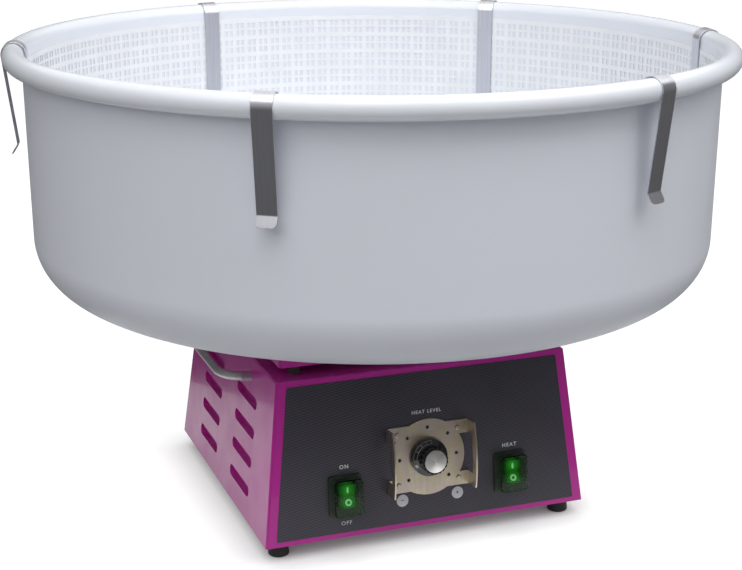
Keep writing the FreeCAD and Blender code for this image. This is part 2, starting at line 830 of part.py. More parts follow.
def rocker(side):
    """Rocker with two sloping faces and a pivot pin each side, pressed in at its upper half."""
    half = rocker_length / 2
    ridge = rocker_rise
    drop = half * math.tan(math.radians(rocker_face_slope_deg))
    keel = -rocker_pivot_depth - rocker_keel_depth
    face = outline((-half, ridge + drop), (0, ridge), (half, ridge + drop), (half, 0),
                   (rocker_keel_half_width, keel), (-rocker_keel_half_width, keel), (-half, 0))
    body = face.extrude(V(0, rocker_width, 0))
    body.translate(V(0, -rocker_width / 2, 0))
    body.rotate(V(0, 0, 0), Z_AXIS, 90.0)
    pin_half = rocker_width / 2 + rocker_pin_length
    pin = Part.makeCylinder(rocker_pin_radius, 2 * pin_half, V(-pin_half, 0, -rocker_pivot_depth), V(1, 0, 0))
    shape = body.fuse(pin)
    shape.rotate(V(0, 0, -rocker_pivot_depth), V(1, 0, 0), -rocker_tilt_deg)
    return at_switch(shape, side)


# ---------------------------------------------------------------- inlet and wiring
def cable_gland():
    """Cable gland: thread through the rear cover, hexagon and dome outside, bored for the cord."""
    dome_top = gland_flange_height + gland_dome_length
    thread_end = -sheet - gland_thread_length
    thread = cylinder(gland_thread_radius, thread_end, 0)
    dome = turned(outline((0, gland_flange_height), (gland_dome_radius, gland_flange_height),
                          (gland_dome_radius, dome_top - gland_dome_taper),
                          (gland_mouth_radius, dome_top), (0, dome_top)))
    body = thread.multiFuse([hexagon(gland_across_flats, 0, gland_flange_height), dome])
    body = body.cut(cylinder(gland_bore_radius, thread_end - hole_run_through, dome_top + hole_run_through))
    return moved(moved(body, gland_place()), REAR)


def gland_nut():
    """Nut of the cable gland inside the rear cover."""
    low = -sheet - gland_nut_height
    nut = hexagon(gland_across_flats, low, -sheet)
    nut = nut.cut(cylinder(gland_thread_radius, low - hole_run_through, 0))
    return moved(moved(nut, gland_place()), REAR)


def gland_place():
    """Place of the cable gland on the plane of the rear."""
    return FreeCAD.Placement(V(gland_offset_x, gland_level, 0), FreeCAD.Rotation())


def terminal_block():
    """Terminal block on the base tray."""
    length, width, height = terminal_block_size
    low = housing_bottom + sheet
    high = low + height
    x, y = -terminal_block_offset_x, base_depth / 2 - terminal_block_inset_y
    block = centred_box(length, width, low, high, x, y)
    pitch = length / terminal_block_poles
    above = high + hole_run_through
    screw_low, gap_low = high - terminal_block_screw_depth, high - terminal_block_gap_depth
    gap_length = width + 2 * hole_run_through
    screws = [cylinder(terminal_block_screw_radius, screw_low, above, x + step, y)
              for step in spread(terminal_block_poles, pitch)]
    gaps = [centred_box(terminal_block_gap_width, gap_length, gap_low, above, x + step, y)
            for step in spread(terminal_block_poles - 1, pitch)]
    return block.cut(Part.Compound(screws + gaps))


# ---------------------------------------------------------------- dampers and pan
def damper_places():
    """Centres of the four vibration dampers."""
    return corners_of(pan_width / 2 - damper_inset_x, pan_depth / 2 - damper_inset_y)


def damper(x, y):
    """Waisted rubber damper."""
    low, high = housing_top, pan_bottom
    middle = (low + high) / 2
    waist = ((damper_waist, middle), (damper_radius, high - damper_edge))
    shape = turned(outline((screw_radius, low), (damper_radius, low), (damper_radius, low + damper_edge),
                           waist, (damper_radius, high), (screw_radius, high)))
    shape.translate(V(x, y, 0))
    return shape


def damper_studs():
    """Studs and nuts that hold the dampers to the housing top and the pan."""
    studs = []
    for x, y in damper_places():
        low = housing_top - sheet - nut_height
        high = pan_bottom + sheet + nut_height
        stud = cylinder(screw_radius, low - screw_tip, high + screw_tip, x, y)
        nuts = [hexagon(nut_across_flats, low, housing_top - sheet, x, y),
                hexagon(nut_across_flats, pan_bottom + sheet, high, x, y)]
        studs.append(stud.multiFuse(nuts))
    return Part.Compound(studs)


def support_pan():
    """Inverted sheet tray that carries the motor, with a seat ring for the bowl and a shaft collar."""
    shell = rounded_box(pan_width, pan_depth, pan_bottom, pan_top, pan_edge_radius)
    hollow = centred_box(pan_width - 2 * sheet, pan_depth - 2 * sheet, pan_bottom + sheet, pan_top - sheet)
    mouth = centred_box(pan_width - 2 * pan_flange_width, pan_depth - 2 * pan_flange_width,
                        pan_bottom - sheet, pan_bottom + 2 * sheet)
    seat_radius = bowl_hole_radius - bowl_seat_gap
    seat = cylinder(seat_radius, pan_top, pan_top + bowl_seat_height)
    seat = seat.cut(cylinder(seat_radius - sheet, pan_top, pan_top + bowl_seat_height))
    collar = cylinder(shaft_collar_radius, pan_top, pan_top + shaft_collar_height)
    bore = cylinder(shaft_collar_radius - sheet, pan_top - 2 * sheet, pan_top + shaft_collar_height + sheet)
    holes = screw_holes(damper_places(), pan_bottom - sheet, pan_bottom + 2 * sheet)
    holes += screw_holes(pillar_places(), pan_top - 2 * sheet, pan_top + sheet)
    pan = shell.cut(hollow).cut(mouth).multiFuse([seat, collar]).cut(bore)
    return pan.cut(Part.Compound(holes)).removeSplitter()


# ---------------------------------------------------------------- motor
def pillar_places():
    """Centres of the motor's pillars."""
    return ring_points(pillar_count, pillar_ring, pillar_first_deg)


def motor_can():
    """Drawn motor can with its magnets and a bearing pocket in its closed end."""
    inside = motor_radius - motor_wall
    middle = (can_bottom + bell_bottom) / 2
    floor = can_bottom + motor_wall
    can = cylinder(motor_radius, can_bottom, bell_bottom).cut(cylinder(inside, floor, bell_bottom))
    magnets = cylinder(inside, middle - motor_magnet_length / 2, middle + motor_magnet_length / 2)
    boss = cylinder(motor_boss_radius, can_bottom - motor_boss_height, floor)
    can = can.multiFuse([magnets, boss])
    pocket_radius = bearing_outer_radius + bearing_seat_gap
    cuts = [cylinder(motor_magnet_radius, floor, bell_bottom),
            cylinder(pocket_radius, floor - bearing_width, floor + hole_run_through)]
    return can.cut(Part.Compound(cuts)).removeSplitter()


def motor_bell():
    """Upper end bell of the motor, with a bearing pocket and the holes of the pillars."""
    bell = cylinder(motor_bell_radius, bell_bottom, bell_top)
    lower = bell_top - bearing_width
    cuts = [cylinder(bearing_outer_radius + bearing_seat_gap, lower, bell_top + hole_run_through),
            cylinder(shaft_radius + shaft_bell_gap, bell_bottom - hole_run_through, bell_top)]
    return bell.cut(Part.Compound(cuts))


def bearings():
    """Ball bearings of the motor, one in each pocket."""
    lower = can_bottom + motor_wall - bearing_width
    upper = bell_top - bearing_width
    rings = []
    for low in (lower, upper):
        high = low + bearing_width
        above = high + hole_run_through
        ring = cylinder(bearing_outer_radius, low, high)
        groove = cylinder(bearing_groove_outer_radius, high - bearing_groove_depth, above)
        groove = groove.cut(cylinder(bearing_groove_inner_radius, low, above))
        bore = cylinder(shaft_radius + running_gap, low - hole_run_through, above)
        rings.append(ring.cut(groove).cut(bore))
    return Part.Compound(rings)


def motor_pillars():
    """Pillars between the motor and the pan, each with a screw through the sheet of the pan."""
    pillars = []
    for x, y in pillar_places():
        post = cylinder(pillar_radius, bell_top, bell_top + pillar_length, x, y)
        stud = cylinder(screw_radius, bell_top + pillar_length, pan_top + screw_head_height, x, y)
        head = cylinder(screw_head_radius, pan_top, pan_top + screw_head_height, x, y)
        pillars.append(post.multiFuse([stud, head]))
    return Part.Compound(pillars)


def brush_holder():
    """Insulating block under the pan with a channel for each carbon brush."""
    length, width, height = brush_holder_size
    start = brush_reach + brush_holder_gap
    low = ring_hub_bottom
    block = box((start, -width / 2, low), (start + length, width / 2, low + height))
    post = box((start + length / 2, -width / 2, low), (start + length, width / 2, pan_top - sheet))
    half = brush_size / 2 + brush_slot_gap
    end = start + length - brush_holder_back_wall
    channels = [box((start - hole_run_through, -half, level - half), (end, half, level + half))
                for level in ring_levels()]
    return block.fuse(post).cut(Part.Compound(channels)).removeSplitter()


def carbon_brushes():
    """Carbon brushes, one for each slip ring."""
    half = brush_size / 2
    end = brush_reach + brush_length
    return Part.Compound([box((brush_reach, -half, level - half), (end, half, level + half))
                          for level in ring_levels()])


def ring_levels():
    """Mid heights of the two slip rings."""
    middle = ring_hub_bottom + ring_hub_height / 2
    return [middle - ring_pitch / 2, middle + ring_pitch / 2]


# ---------------------------------------------------------------- spinner
def motor_shaft():
    """Shaft from the motor to the spinner head, threaded for the head's nut."""
    shaft = cylinder(shaft_radius, shaft_bottom, head_floor + head_nut_height + shaft_tip)
    ends = [edge for edge in shaft.Edges if isinstance(edge.Curve, Part.Circle)]
    return shaft.makeChamfer(shaft_chamfer, ends)


def armature():
    """Slotted armature on the shaft."""
    middle = (can_bottom + bell_bottom) / 2
    radius = motor_magnet_radius - motor_air_gap
    low, high = middle - motor_magnet_length / 2, middle + motor_magnet_length / 2
    core = cylinder(radius, low, high)
    below, above = low - hole_run_through, high + hole_run_through
    slots = [cylinder(armature_slot_radius, below, above, x, y)
             for x, y in ring_points(armature_slots, radius - armature_slot_inset)]
    return core.cut(Part.Compound(slots)).cut(cylinder(shaft_radius, below, above))


def slip_ring_hub():
    """Insulating hub of the slip rings."""
    high = ring_hub_bottom + ring_hub_height
    hub = cylinder(ring_hub_radius, ring_hub_bottom, high)
    return hub.cut(cylinder(shaft_radius, ring_hub_bottom - hole_run_through, high + hole_run_through))


def slip_rings():
    """Brass rings that feed the heater."""
    rings = []
    for level in ring_levels():
        ring = cylinder(ring_outer_radius, level - ring_width / 2, level + ring_width / 2)
        rings.append(ring.cut(cylinder(ring_hub_radius, level - ring_width, level + ring_width)))
    return Part.Compound(rings)


def head_base():
    """Dished base of the spinner head with its hub."""
    lip_inner = head_radius - head_lip_width
    hub_low = head_bottom - head_hub_drop
    face = outline((shaft_radius, hub_low), (head_hub_radius, hub_low),
                   (head_hub_radius, head_bottom), (head_radius - head_edge_chamfer, head_bottom),
                   (head_radius, head_bottom + head_edge_chamfer),
                   (head_radius, head_floor + head_lip_height), (lip_inner, head_floor + head_lip_height),
                   (lip_inner, head_floor), (shaft_radius, head_floor))
    return turned(face)


def slotted_band():
    """Perforated band that the molten sugar is thrown through."""
    outer = head_radius - head_lip_width - band_gap
    band = cylinder(outer, head_floor, band_top).cut(cylinder(outer - band_thickness, head_floor, band_top))
    middle = (head_floor + head_lip_height + band_top) / 2
    low, high = middle - band_slot_height / 2, middle + band_slot_height / 2
    blade = box((outer - 2 * band_thickness, -band_slot_width / 2, low),
                (outer + band_thickness, band_slot_width / 2, high))
    slots = []
    for k in range(band_slot_count):
        slot = blade.copy()
        slot.rotate(V(0, 0, 0), Z_AXIS, FULL_TURN * k / band_slot_count)
        slots.append(slot)
    return band.cut(Part.Compound(slots))


def folded_block(shift):
    """Upright star-shaped block with the folds of the heating ribbon, its sides moved out by shift."""
    low = head_floor + heater_seat_gap
    outer = ring_points(heater_folds, heater_radius + heater_depth / 2 + shift)
    inner = ring_points(heater_folds, heater_radius - heater_depth / 2 + shift, FULL_TURN / heater_folds / 2)
    corners = [V(x, y, low) for pair in zip(outer, inner) for x, y in pair]
    return Part.Face(Part.makePolygon(corners + corners[:1])).extrude(V(0, 0, heater_height))


def heating_element():
    """Folded heating ribbon inside the band."""
    return folded_block(heater_thickness / 2).cut(folded_block(-heater_thickness / 2))


def head_cover():
    """Domed cover of the spinner head with a funnel mouth for the sugar."""
    edge = head_radius - cover_edge_inset
    inner_edge = edge - cover_edge_thickness - cover_edge_inset
    top = band_top + cover_rise
    mouth_low = top - sugar_funnel_depth
    crest = sugar_hole_radius + sugar_crest_width
    shoulder, shoulder_level = edge * cover_shoulder_share, band_top + cover_shoulder_rise
    face = outline((edge, band_top), (edge, band_top + cover_edge_height),
                   ((shoulder, shoulder_level), (crest, top)),
                   (sugar_hole_radius + sugar_lip_width, top), (sugar_hole_radius - cover_wall, mouth_low),
                   (sugar_hole_radius, mouth_low), (crest, top - cover_wall),
                   ((shoulder, shoulder_level - cover_wall), (inner_edge, band_top)))
    cover = turned(face)
    return cover.cut(Part.Compound(screw_holes(head_screw_places(), band_top, top + hole_run_through)))


def head_screw_places():
    """Centres of the screws that hold the cover to the base."""
    return ring_points(head_screw_count, head_screw_ring, head_screw_first_deg)


def head_screws():
    """Long screws from the cover down to the base of the head."""
    head_low = band_top + cover_rise + head_screw_head_gap
    screws = []
    for x, y in head_screw_places():
        shank = cylinder(screw_radius, head_floor, head_low, x, y)
        screws.append(shank.fuse(hexagon(nut_across_flats, head_low, head_low + nut_height, x, y)))
    return Part.Compound(screws)


def head_nut():
    """Nut that clamps the head to the shaft."""
    top = head_floor + head_nut_height
    nut = hexagon(head_nut_across_flats, head_floor, top)
    return nut.cut(cylinder(shaft_radius, head_floor - hole_run_through, top + hole_run_through))


# ---------------------------------------------------------------- bowl, net and clips
def wall_radius(level):
    """Inner radius of the bowl's wall at a level."""
    return bowl_inner_radius - (bead_level - level) * math.tan(math.radians(bowl_draft_deg))


def polar(centre, radius, angle_deg):
    """Point at an angle on a circle of an outline."""
    angle = math.radians(angle_deg)
    return (centre[0] + radius * math.cos(angle), centre[1] + radius * math.sin(angle))


def bowl():
    """Moulded bowl: floor with a raised hole edge, rounded corner, drafted wall and rolled rim."""
    draft = math.radians(bowl_draft_deg)
    floor_top = pan_top + bowl_wall
    inner_corner = bowl_corner_radius - bowl_wall
    corner_level = pan_top + bowl_corner_radius
    reach = (inner_corner + (bead_level - corner_level) * math.sin(draft)) / math.cos(draft)
    corner = (bowl_inner_radius - reach, corner_level)
    bead = (bead_ring_radius, bead_level)
    tube_inner = bowl_bead_radius - bowl_wall
    wall_side = -bowl_draft_deg
    middle_of_corner = (wall_side - 90.0) / 2
    middle_of_roll = (180.0 + bowl_bead_end_deg) / 2
    collar = bowl_hole_radius + bowl_wall
    collar_top = floor_top + bowl_collar_height
    fillet = (collar + bowl_collar_fillet, floor_top + bowl_collar_fillet)
    face = outline(
        (bowl_hole_radius, pan_top), (corner[0], pan_top),
        (polar(corner, bowl_corner_radius, middle_of_corner), polar(corner, bowl_corner_radius, wall_side)),
        (bead[0] - tube_inner, bead[1]),
        (polar(bead, tube_inner, middle_of_roll), polar(bead, tube_inner, bowl_bead_end_deg)),
        polar(bead, bowl_bead_radius, bowl_bead_end_deg),
        (polar(bead, bowl_bead_radius, middle_of_roll), (bowl_inner_radius, bead[1])),
        polar(corner, inner_corner, wall_side),
        (polar(corner, inner_corner, middle_of_corner), (corner[0], floor_top)),
        (fillet[0], floor_top),
        (polar(fillet, bowl_collar_fillet, 225.0), (collar, fillet[1])),
        (collar, collar_top), (bowl_hole_radius, collar_top))
    return turned(face)


def net_liner():
    """Band of net against the inside of the wall."""
    high = bead_level - net_top_drop
    low = high - net_width
    outer = net_gap
    inner = net_gap + net_thickness
    return turned(outline((wall_radius(low) - outer, low), (wall_radius(high) - outer, high),
                          (wall_radius(high) - inner, high), (wall_radius(low) - inner, low)))


def clip(azimuth_deg):
    """Bent spring strip over the rim: a leg on the net, a sprung leg outside and a lifting tab."""
    stack = net_gap + net_thickness + clip_gap
    radius = bowl_bead_radius + clip_gap + stack / 2 + clip_thickness / 2
    centre = (bead_ring_radius - stack / 2, bead_level - clip_sit)
    tip = (bowl_rim_radius - clip_tip_inset, bead_level - clip_outer_leg)
    tab = (tip[0] + clip_tab_out, tip[1] - clip_tab_drop)
    inner_low = bead_level - clip_inner_leg
    draw_in = (centre[1] - inner_low) * math.tan(math.radians(bowl_draft_deg))
    leave_deg = tangent_angle(centre, radius, tip)
    over = flat(polar(centre, radius, (180.0 + leave_deg) / 2))
    leave = flat(polar(centre, radius, leave_deg))
    leg_top, leg_end = (centre[0] - radius, centre[1]), (centre[0] - radius - draw_in, inner_low)
    hook = [Part.makeLine(flat(leg_end), flat(leg_top)), Part.Arc(flat(leg_top), over, leave).toShape()]
    leg = bent_wire([leave, flat(tip), flat(tab)], clip_bend_radius)
    path = Part.Wire(hook + leg.Edges)
    section = Part.makePolygon([V(leg_end[0] + i * clip_thickness / 2, j * clip_width / 2, leg_end[1])
                                for i, j in ((-1, -1), (1, -1), (1, 1), (-1, 1), (-1, -1))])
    strip = path.makePipeShell([section], True, False)
    corners = [edge for edge in strip.Edges if abs(edge.Length - clip_thickness) < 1e-3
               and abs(edge.CenterOfMass.z - tab[1]) < clip_thickness]
    strip = strip.makeFillet(clip_tab_corner, corners)
    strip.rotate(V(0, 0, 0), Z_AXIS, azimuth_deg)
    return strip


def tangent_angle(centre, radius, point):
    """Angle on a circle where a line to an outside point leaves it, on the outer side."""
    run = (point[0] - centre[0], point[1] - centre[1])
    toward = math.degrees(math.atan2(run[1], run[0]))
    spread = math.degrees(math.acos(radius / math.hypot(*run)))
    return toward + spread


# ---------------------------------------------------------------- assembly
def sub_parts():
    """All the pieces of the machine, by node name."""
    corners = ("front_left", "front_right", "rear_left", "rear_right")
    parts = {
        "housing_wrap": housing_wrap(), "side_panel_left": side_panel(-1), "side_panel_right": side_panel(1),
        "rear_cover": rear_cover(), "base_plate": base_plate(), "housing_screws": housing_screws(),
        "front_overlay": front_overlay(), "foot_screws": foot_screws(),
        "handle_left": handle(-1), "handle_right": handle(1), "handle_nuts": handle_nuts(),
        "knob_guard": knob_guard(), "knob_guard_screws": knob_guard_screws(),
        "power_regulator": power_regulator(), "regulator_spindle": regulator_spindle(),
        "control_knob": knob(), "knob_cap": knob_cap(),
        "terminal_block": terminal_block(), "cable_gland": cable_gland(), "gland_nut": gland_nut(),
        "support_pan": support_pan(), "damper_studs": damper_studs(),
        "motor_can": motor_can(), "motor_bell": motor_bell(), "bearings": bearings(),
        "motor_pillars": motor_pillars(), "brush_holder": brush_holder(), "carbon_brushes": carbon_brushes(),
        "motor_shaft": motor_shaft(), "armature": armature(),
        "slip_ring_hub": slip_ring_hub(), "slip_rings": slip_rings(),
        "head_base": head_base(), "slotted_band": slotted_band(), "heating_element": heating_element(),
        "head_cover": head_cover(), "head_screws": head_screws(), "head_nut": head_nut(),
        "bowl": bowl(), "net_liner": net_liner(),
    }
    for name, (x, y) in zip(corners, foot_places()):
        parts["foot_" + name] = foot(x, y)
    for name, (x, y) in zip(corners, damper_places()):
        parts["damper_" + name] = damper(x, y)
    for name, side in (("left", -1), ("right", 1)):
        parts["switch_body_" + name] = switch_body(side)
        parts["switch_cap_" + name] = switch_cap(side)
        parts["rocker_" + name] = rocker(side)
    for number, azimuth in enumerate(clip_azimuths, 1):
        parts["net_clip_" + str(number)] = clip(azimuth)
    return parts


def main():
    """Write one STEP file for each piece."""
    os.makedirs("parts", exist_ok=True)
    for name, shape in sub_parts().items():
        if not shape.isValid():
            raise ValueError(name + " is not a valid solid")
        print(name, len(shape.Solids), round(shape.Volume, 1))
        shape.exportStep("parts/" + name + ".step")


main()
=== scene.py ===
import json
import logging
import math
from collections.abc import Sequence
from dataclasses import dataclass
from enum import Enum

import bmesh
import bpy
from mathutils import Matrix, Vector, noise

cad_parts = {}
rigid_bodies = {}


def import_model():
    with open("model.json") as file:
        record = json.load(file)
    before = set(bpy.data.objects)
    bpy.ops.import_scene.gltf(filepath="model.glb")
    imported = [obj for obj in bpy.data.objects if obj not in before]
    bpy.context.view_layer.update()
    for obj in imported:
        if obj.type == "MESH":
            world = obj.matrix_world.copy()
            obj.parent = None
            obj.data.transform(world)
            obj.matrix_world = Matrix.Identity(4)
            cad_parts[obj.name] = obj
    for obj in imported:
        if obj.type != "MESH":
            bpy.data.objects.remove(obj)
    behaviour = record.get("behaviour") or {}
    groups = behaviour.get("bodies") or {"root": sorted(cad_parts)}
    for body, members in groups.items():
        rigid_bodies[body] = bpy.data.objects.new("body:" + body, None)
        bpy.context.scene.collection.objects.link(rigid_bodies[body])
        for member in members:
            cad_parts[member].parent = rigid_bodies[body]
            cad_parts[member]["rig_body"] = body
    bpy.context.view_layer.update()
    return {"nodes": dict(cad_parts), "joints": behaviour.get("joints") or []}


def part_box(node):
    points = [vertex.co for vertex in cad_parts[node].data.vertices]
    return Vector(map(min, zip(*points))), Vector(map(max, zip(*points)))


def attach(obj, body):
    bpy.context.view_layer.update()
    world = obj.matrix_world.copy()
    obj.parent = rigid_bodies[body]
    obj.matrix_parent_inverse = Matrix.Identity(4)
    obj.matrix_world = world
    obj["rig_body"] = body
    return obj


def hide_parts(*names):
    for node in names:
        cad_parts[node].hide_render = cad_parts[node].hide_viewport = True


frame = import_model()

# Looks of an electric candy-floss machine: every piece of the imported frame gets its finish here,
# and the pieces that need finer shapes than the frame has are modelled in its place. All lengths
# are in metres. +Z is up and the control panel faces -Y.

log = logging.getLogger("candy_floss_machine")

Colour = tuple[float, float, float]
Point2 = tuple[float, float]
Point3 = tuple[float, float, float]
Socket = bpy.types.NodeSocket
Value = Socket | float | Sequence[float]
Material = bpy.types.Material
Piece = bpy.types.Object

SHARP_ANGLE = math.radians(28.0)      # edges that turn more than this are rounded
FLAT_ANGLE = math.radians(0.6)        # facets that turn less than this are one face
WELD_DISTANCE = 1e-6                  # points closer than this are one point
EDGE_FACETS = 2                       # facets across a rounded edge
ARC_PROFILE = 0.5                     # the bevel profile that follows an arc
LETTER_FACETS = 4                     # facets along each curve of a letter
BROAD_FACE_WEIGHT = 80                # how strongly broad faces keep their own normal
EDGE_ATTRIBUTE = "edge"               # 1 along the middle of a rounded edge, 0 elsewhere
USUAL_NOISE = (0.3, 0.7)              # most values of a noise texture lie in this range
CAPITAL_SHARE = 0.72                  # height of a capital letter as a share of its font's size
INK_SPREAD = 0.022                    # growth of a printed stroke as a share of a capital's height
WHITE = (1.0, 1.0, 1.0, 1.0)


# ---------------------------------------------------------------- places on the machine
@dataclass(frozen=True)
class PanelPlane:
    """A flat face of the machine, with its own directions across, up and out of it."""

    origin: Vector
    across: Vector
    up: Vector

    @property
    def out(self) -> Vector:
        """Direction that points away from the face."""
        return self.across.cross(self.up)

    def matrix(self, sideways: float, upward: float, outward: float) -> Matrix:
        """Gives the frame of a point on the face.

        Args:
            sideways: distance across the face.
            upward: distance up the face.
            outward: distance out of the face.

        Returns:
            A matrix whose X is across, Y is up and Z is out of the face.
        """
        spot = self.origin + self.across * sideways + self.up * upward + self.out * outward
        axes = Matrix((self.across, self.up, self.out)).transposed().to_4x4()
        return Matrix.Translation(spot) @ axes


def control_panel_plane(knob_height: float) -> PanelPlane:
    """Finds the control panel from the axis of the knob's joint.

    Args:
        knob_height: how far up the panel the knob sits.

    Returns:
        The panel's outer steel face, with its origin in the middle of its lower edge.
    """
    joint = next(j for j in frame["joints"] if j["name"] == "knob_turn")
    out = Vector(joint["axis"]).normalized()
    across = Vector((1.0, 0.0, 0.0))
    up = out.cross(across)
    return PanelPlane(Vector(joint["pos_m"]) - up * knob_height, across, up)


def four_corners(name: str) -> list[str]:
    """Names the nodes of a piece that the machine has at each of its corners."""
    return [f"{name}_{end}_{side}" for end in ("front", "rear") for side in ("left", "right")]


# ---------------------------------------------------------------- writing shader nodes
class Graph:
    """Writes nodes into one node tree."""

    def __init__(self, tree: bpy.types.NodeTree) -> None:
        """Starts writing into a tree."""
        self.tree = tree

    def node(self, kind: str, **settings: object) -> bpy.types.Node:
        """Adds a node.

        Args:
            kind: Blender's name of the node.
            **settings: the properties to set on it.

        Returns:
            The new node.
        """
        made = self.tree.nodes.new(kind)
        for name, value in settings.items():
            setattr(made, name, value)
        return made

    def feed(self, socket: Socket, value: Value) -> None:
        """Links a socket to another, or sets its constant.

        Args:
            socket: the input.
            value: the output that feeds it, or its constant.
        """
        if isinstance(value, Socket):
            self.tree.links.new(value, socket)
        else:
            socket.default_value = value

    def math(self, operation: str, first: Value, second: Value = 0.0, clamp: bool = False) -> Socket:
        """Adds a Math node.

        Args:
            operation: Blender's name of the operation.
            first: the first number.
            second: the second number, where the operation takes two.
            clamp: whether the result is kept between 0 and 1.

        Returns:
            The result.
        """
        made = self.node("ShaderNodeMath", operation=operation, use_clamp=clamp)
        self.feed(made.inputs[0], first)
        self.feed(made.inputs[1], second)
        return made.outputs[0]

    def scaled(self, vector: Socket, factors: Sequence[float]) -> Socket:
        """Multiplies a vector by a factor along each axis.

        Args:
            vector: the vector.
            factors: its three factors.

        Returns:
            The result.
        """
        made = self.node("ShaderNodeVectorMath", operation="MULTIPLY")
        self.feed(made.inputs[0], vector)
        self.feed(made.inputs[1], factors)
        return made.outputs[0]

    def split(self, vector: Socket) -> tuple[Socket, ...]:
        """Separates a vector.

        Args:
            vector: the vector.

        Returns:
            Its X, Y and Z.
        """
        made = self.node("ShaderNodeSeparateXYZ")
        self.feed(made.inputs[0], vector)
        return tuple(made.outputs)

    def join(self, *parts: Value) -> Socket:
        """Combines three numbers.

        Args:
            *parts: X, Y and Z.

        Returns:
            The vector.
        """
        made = self.node("ShaderNodeCombineXYZ")
        for socket, value in zip(made.inputs, parts):
            self.feed(socket, value)
        return made.outputs[0]

    def noise(self, vector: Socket, scale: Value, detail: float = 2.0, rough: float = 0.5) -> Socket:
        """Adds a noise texture.

        Args:
            vector: the place on the piece.
            scale: how fine the noise is.
            detail: how many finer layers it has.
            rough: how strong they are.

        Returns:
            The noise, from 0 to 1.
        """
        made = self.node("ShaderNodeTexNoise")
        self.feed(made.inputs["Vector"], vector)
        self.feed(made.inputs["Scale"], scale)
        made.inputs["Detail"].default_value = detail
        made.inputs["Roughness"].default_value = rough
        return made.outputs["Fac"]

    def remap(self, value: Value, low: Value, high: Value, to_low: Value = 0.0,
              to_high: Value = 1.0, smooth: bool = False) -> Socket:
        """Maps one range to another and stops at its ends.

        Args:
            value: the number.
            low: the start of its range.
            high: the end of its range.
            to_low: what the start becomes.
            to_high: what the end becomes.
            smooth: whether it eases in and out.

        Returns:
            The mapped number.
        """
        made = self.node("ShaderNodeMapRange", clamp=True,
                         interpolation_type="SMOOTHSTEP" if smooth else "LINEAR")
        for socket, number in zip(made.inputs, (value, low, high, to_low, to_high)):
            self.feed(socket, number)
        return made.outputs[0]

    def mix(self, mask: Value, first: Value, second: Value, blend: str = "MIX") -> Socket:
        """Mixes two colours.

        Args:
            mask: 0 keeps the first colour and 1 takes the mix whole.
            first: the first colour.
            second: the second colour.
            blend: Blender's name of the way of mixing.

        Returns:
            The mixed colour.
        """
        made = self.node("ShaderNodeMix", data_type="RGBA", blend_type=blend)
        colours = [s for s in made.inputs if s.type == "RGBA"]
        self.feed(made.inputs[0], mask)
        for socket, value in zip(colours, (first, second)):
            self.feed(socket, value if isinstance(value, Socket) else (*value, 1.0))
        return next(s for s in made.outputs if s.type == "RGBA")

    def tinted(self, colour: Value, value: Socket) -> Socket:
        """Multiplies a colour by a number."""
        return self.mix(1.0, colour, self.join(value, value, value), blend="MULTIPLY")

    def bump(self, height: Socket, depth: float) -> Socket:
        """Turns a height into a normal.

        Args:
            height: the height, from 0 to 1.
            depth: what a height of 1 measures, in metres.

        Returns:
            The normal.
        """
        made = self.node("ShaderNodeBump")
        made.inputs["Distance"].default_value = depth
        self.feed(made.inputs["Height"], height)
        return made.outputs[0]

    def effect(self, shared: type["Effect"], **values: Value) -> Socket:
        """Places a shared effect.

        Args:
            shared: the effect.
            **values: its inputs by name.

        Returns:
            Its output.
        """
        made = self.node("ShaderNodeGroup", node_tree=shared.group())
        for name, value in values.items():
            self.feed(made.inputs[name], value)
        return made.outputs[0]


# ---------------------------------------------------------------- effects that finishes share
class SocketKind(Enum):
    """What a socket of a shared effect carries."""

    NUMBER = "NodeSocketFloat"
    VECTOR = "NodeSocketVector"


class Effect:
    """A shader node group that several finishes share. It is built once, when first placed."""

    title = ""
    inputs: dict[str, SocketKind] = {}
    output = ("Value", SocketKind.NUMBER)
    built: dict[str, bpy.types.NodeTree] = {}

    @classmethod
    def write(cls, graph: Graph, given: bpy.types.NodeOutputs) -> Socket:
        """Writes the nodes of the group.

        Args:
            graph: the group's own tree.
            given: the group's inputs by name.

        Returns:
            The group's result.
        """
        raise NotImplementedError(cls.title)

    @classmethod
    def group(cls) -> bpy.types.NodeTree:
        """Builds the group, or finds it where it is built.

        Returns:
            The group.
        """
        if cls.title in cls.built:
            return cls.built[cls.title]
        tree = bpy.data.node_groups.new(cls.title, "ShaderNodeTree")
        for label, kind in cls.inputs.items():
            tree.interface.new_socket(name=label, in_out="INPUT", socket_type=kind.value)
        label, kind = cls.output
        tree.interface.new_socket(name=label, in_out="OUTPUT", socket_type=kind.value)
        graph = Graph(tree)
        entry, leave = graph.node("NodeGroupInput"), graph.node("NodeGroupOutput")
        graph.feed(leave.inputs[0], cls.write(graph, entry.outputs))
        cls.built[cls.title] = tree
        return tree


class Clouds(Effect):
    """Slow change of tone: a factor round 1, wider with Amount."""

    title = "Clouds"
    inputs = {"Vector": SocketKind.VECTOR, "Scale": SocketKind.NUMBER, "Amount": SocketKind.NUMBER}
    output = ("Factor", SocketKind.NUMBER)

    @classmethod
    def write(cls, graph: Graph, given: bpy.types.NodeOutputs) -> Socket:
        """Spreads a broad noise evenly round 1.

        Args:
            graph: the group's own tree.
            given: the group's inputs by name.

        Returns:
            The factor.
        """
        value = graph.noise(given["Vector"], given["Scale"], detail=3.0)
        low = graph.math("SUBTRACT", 1.0, given["Amount"])
        high = graph.math("ADD", 1.0, given["Amount"])
        return graph.remap(value, *USUAL_NOISE, low, high)


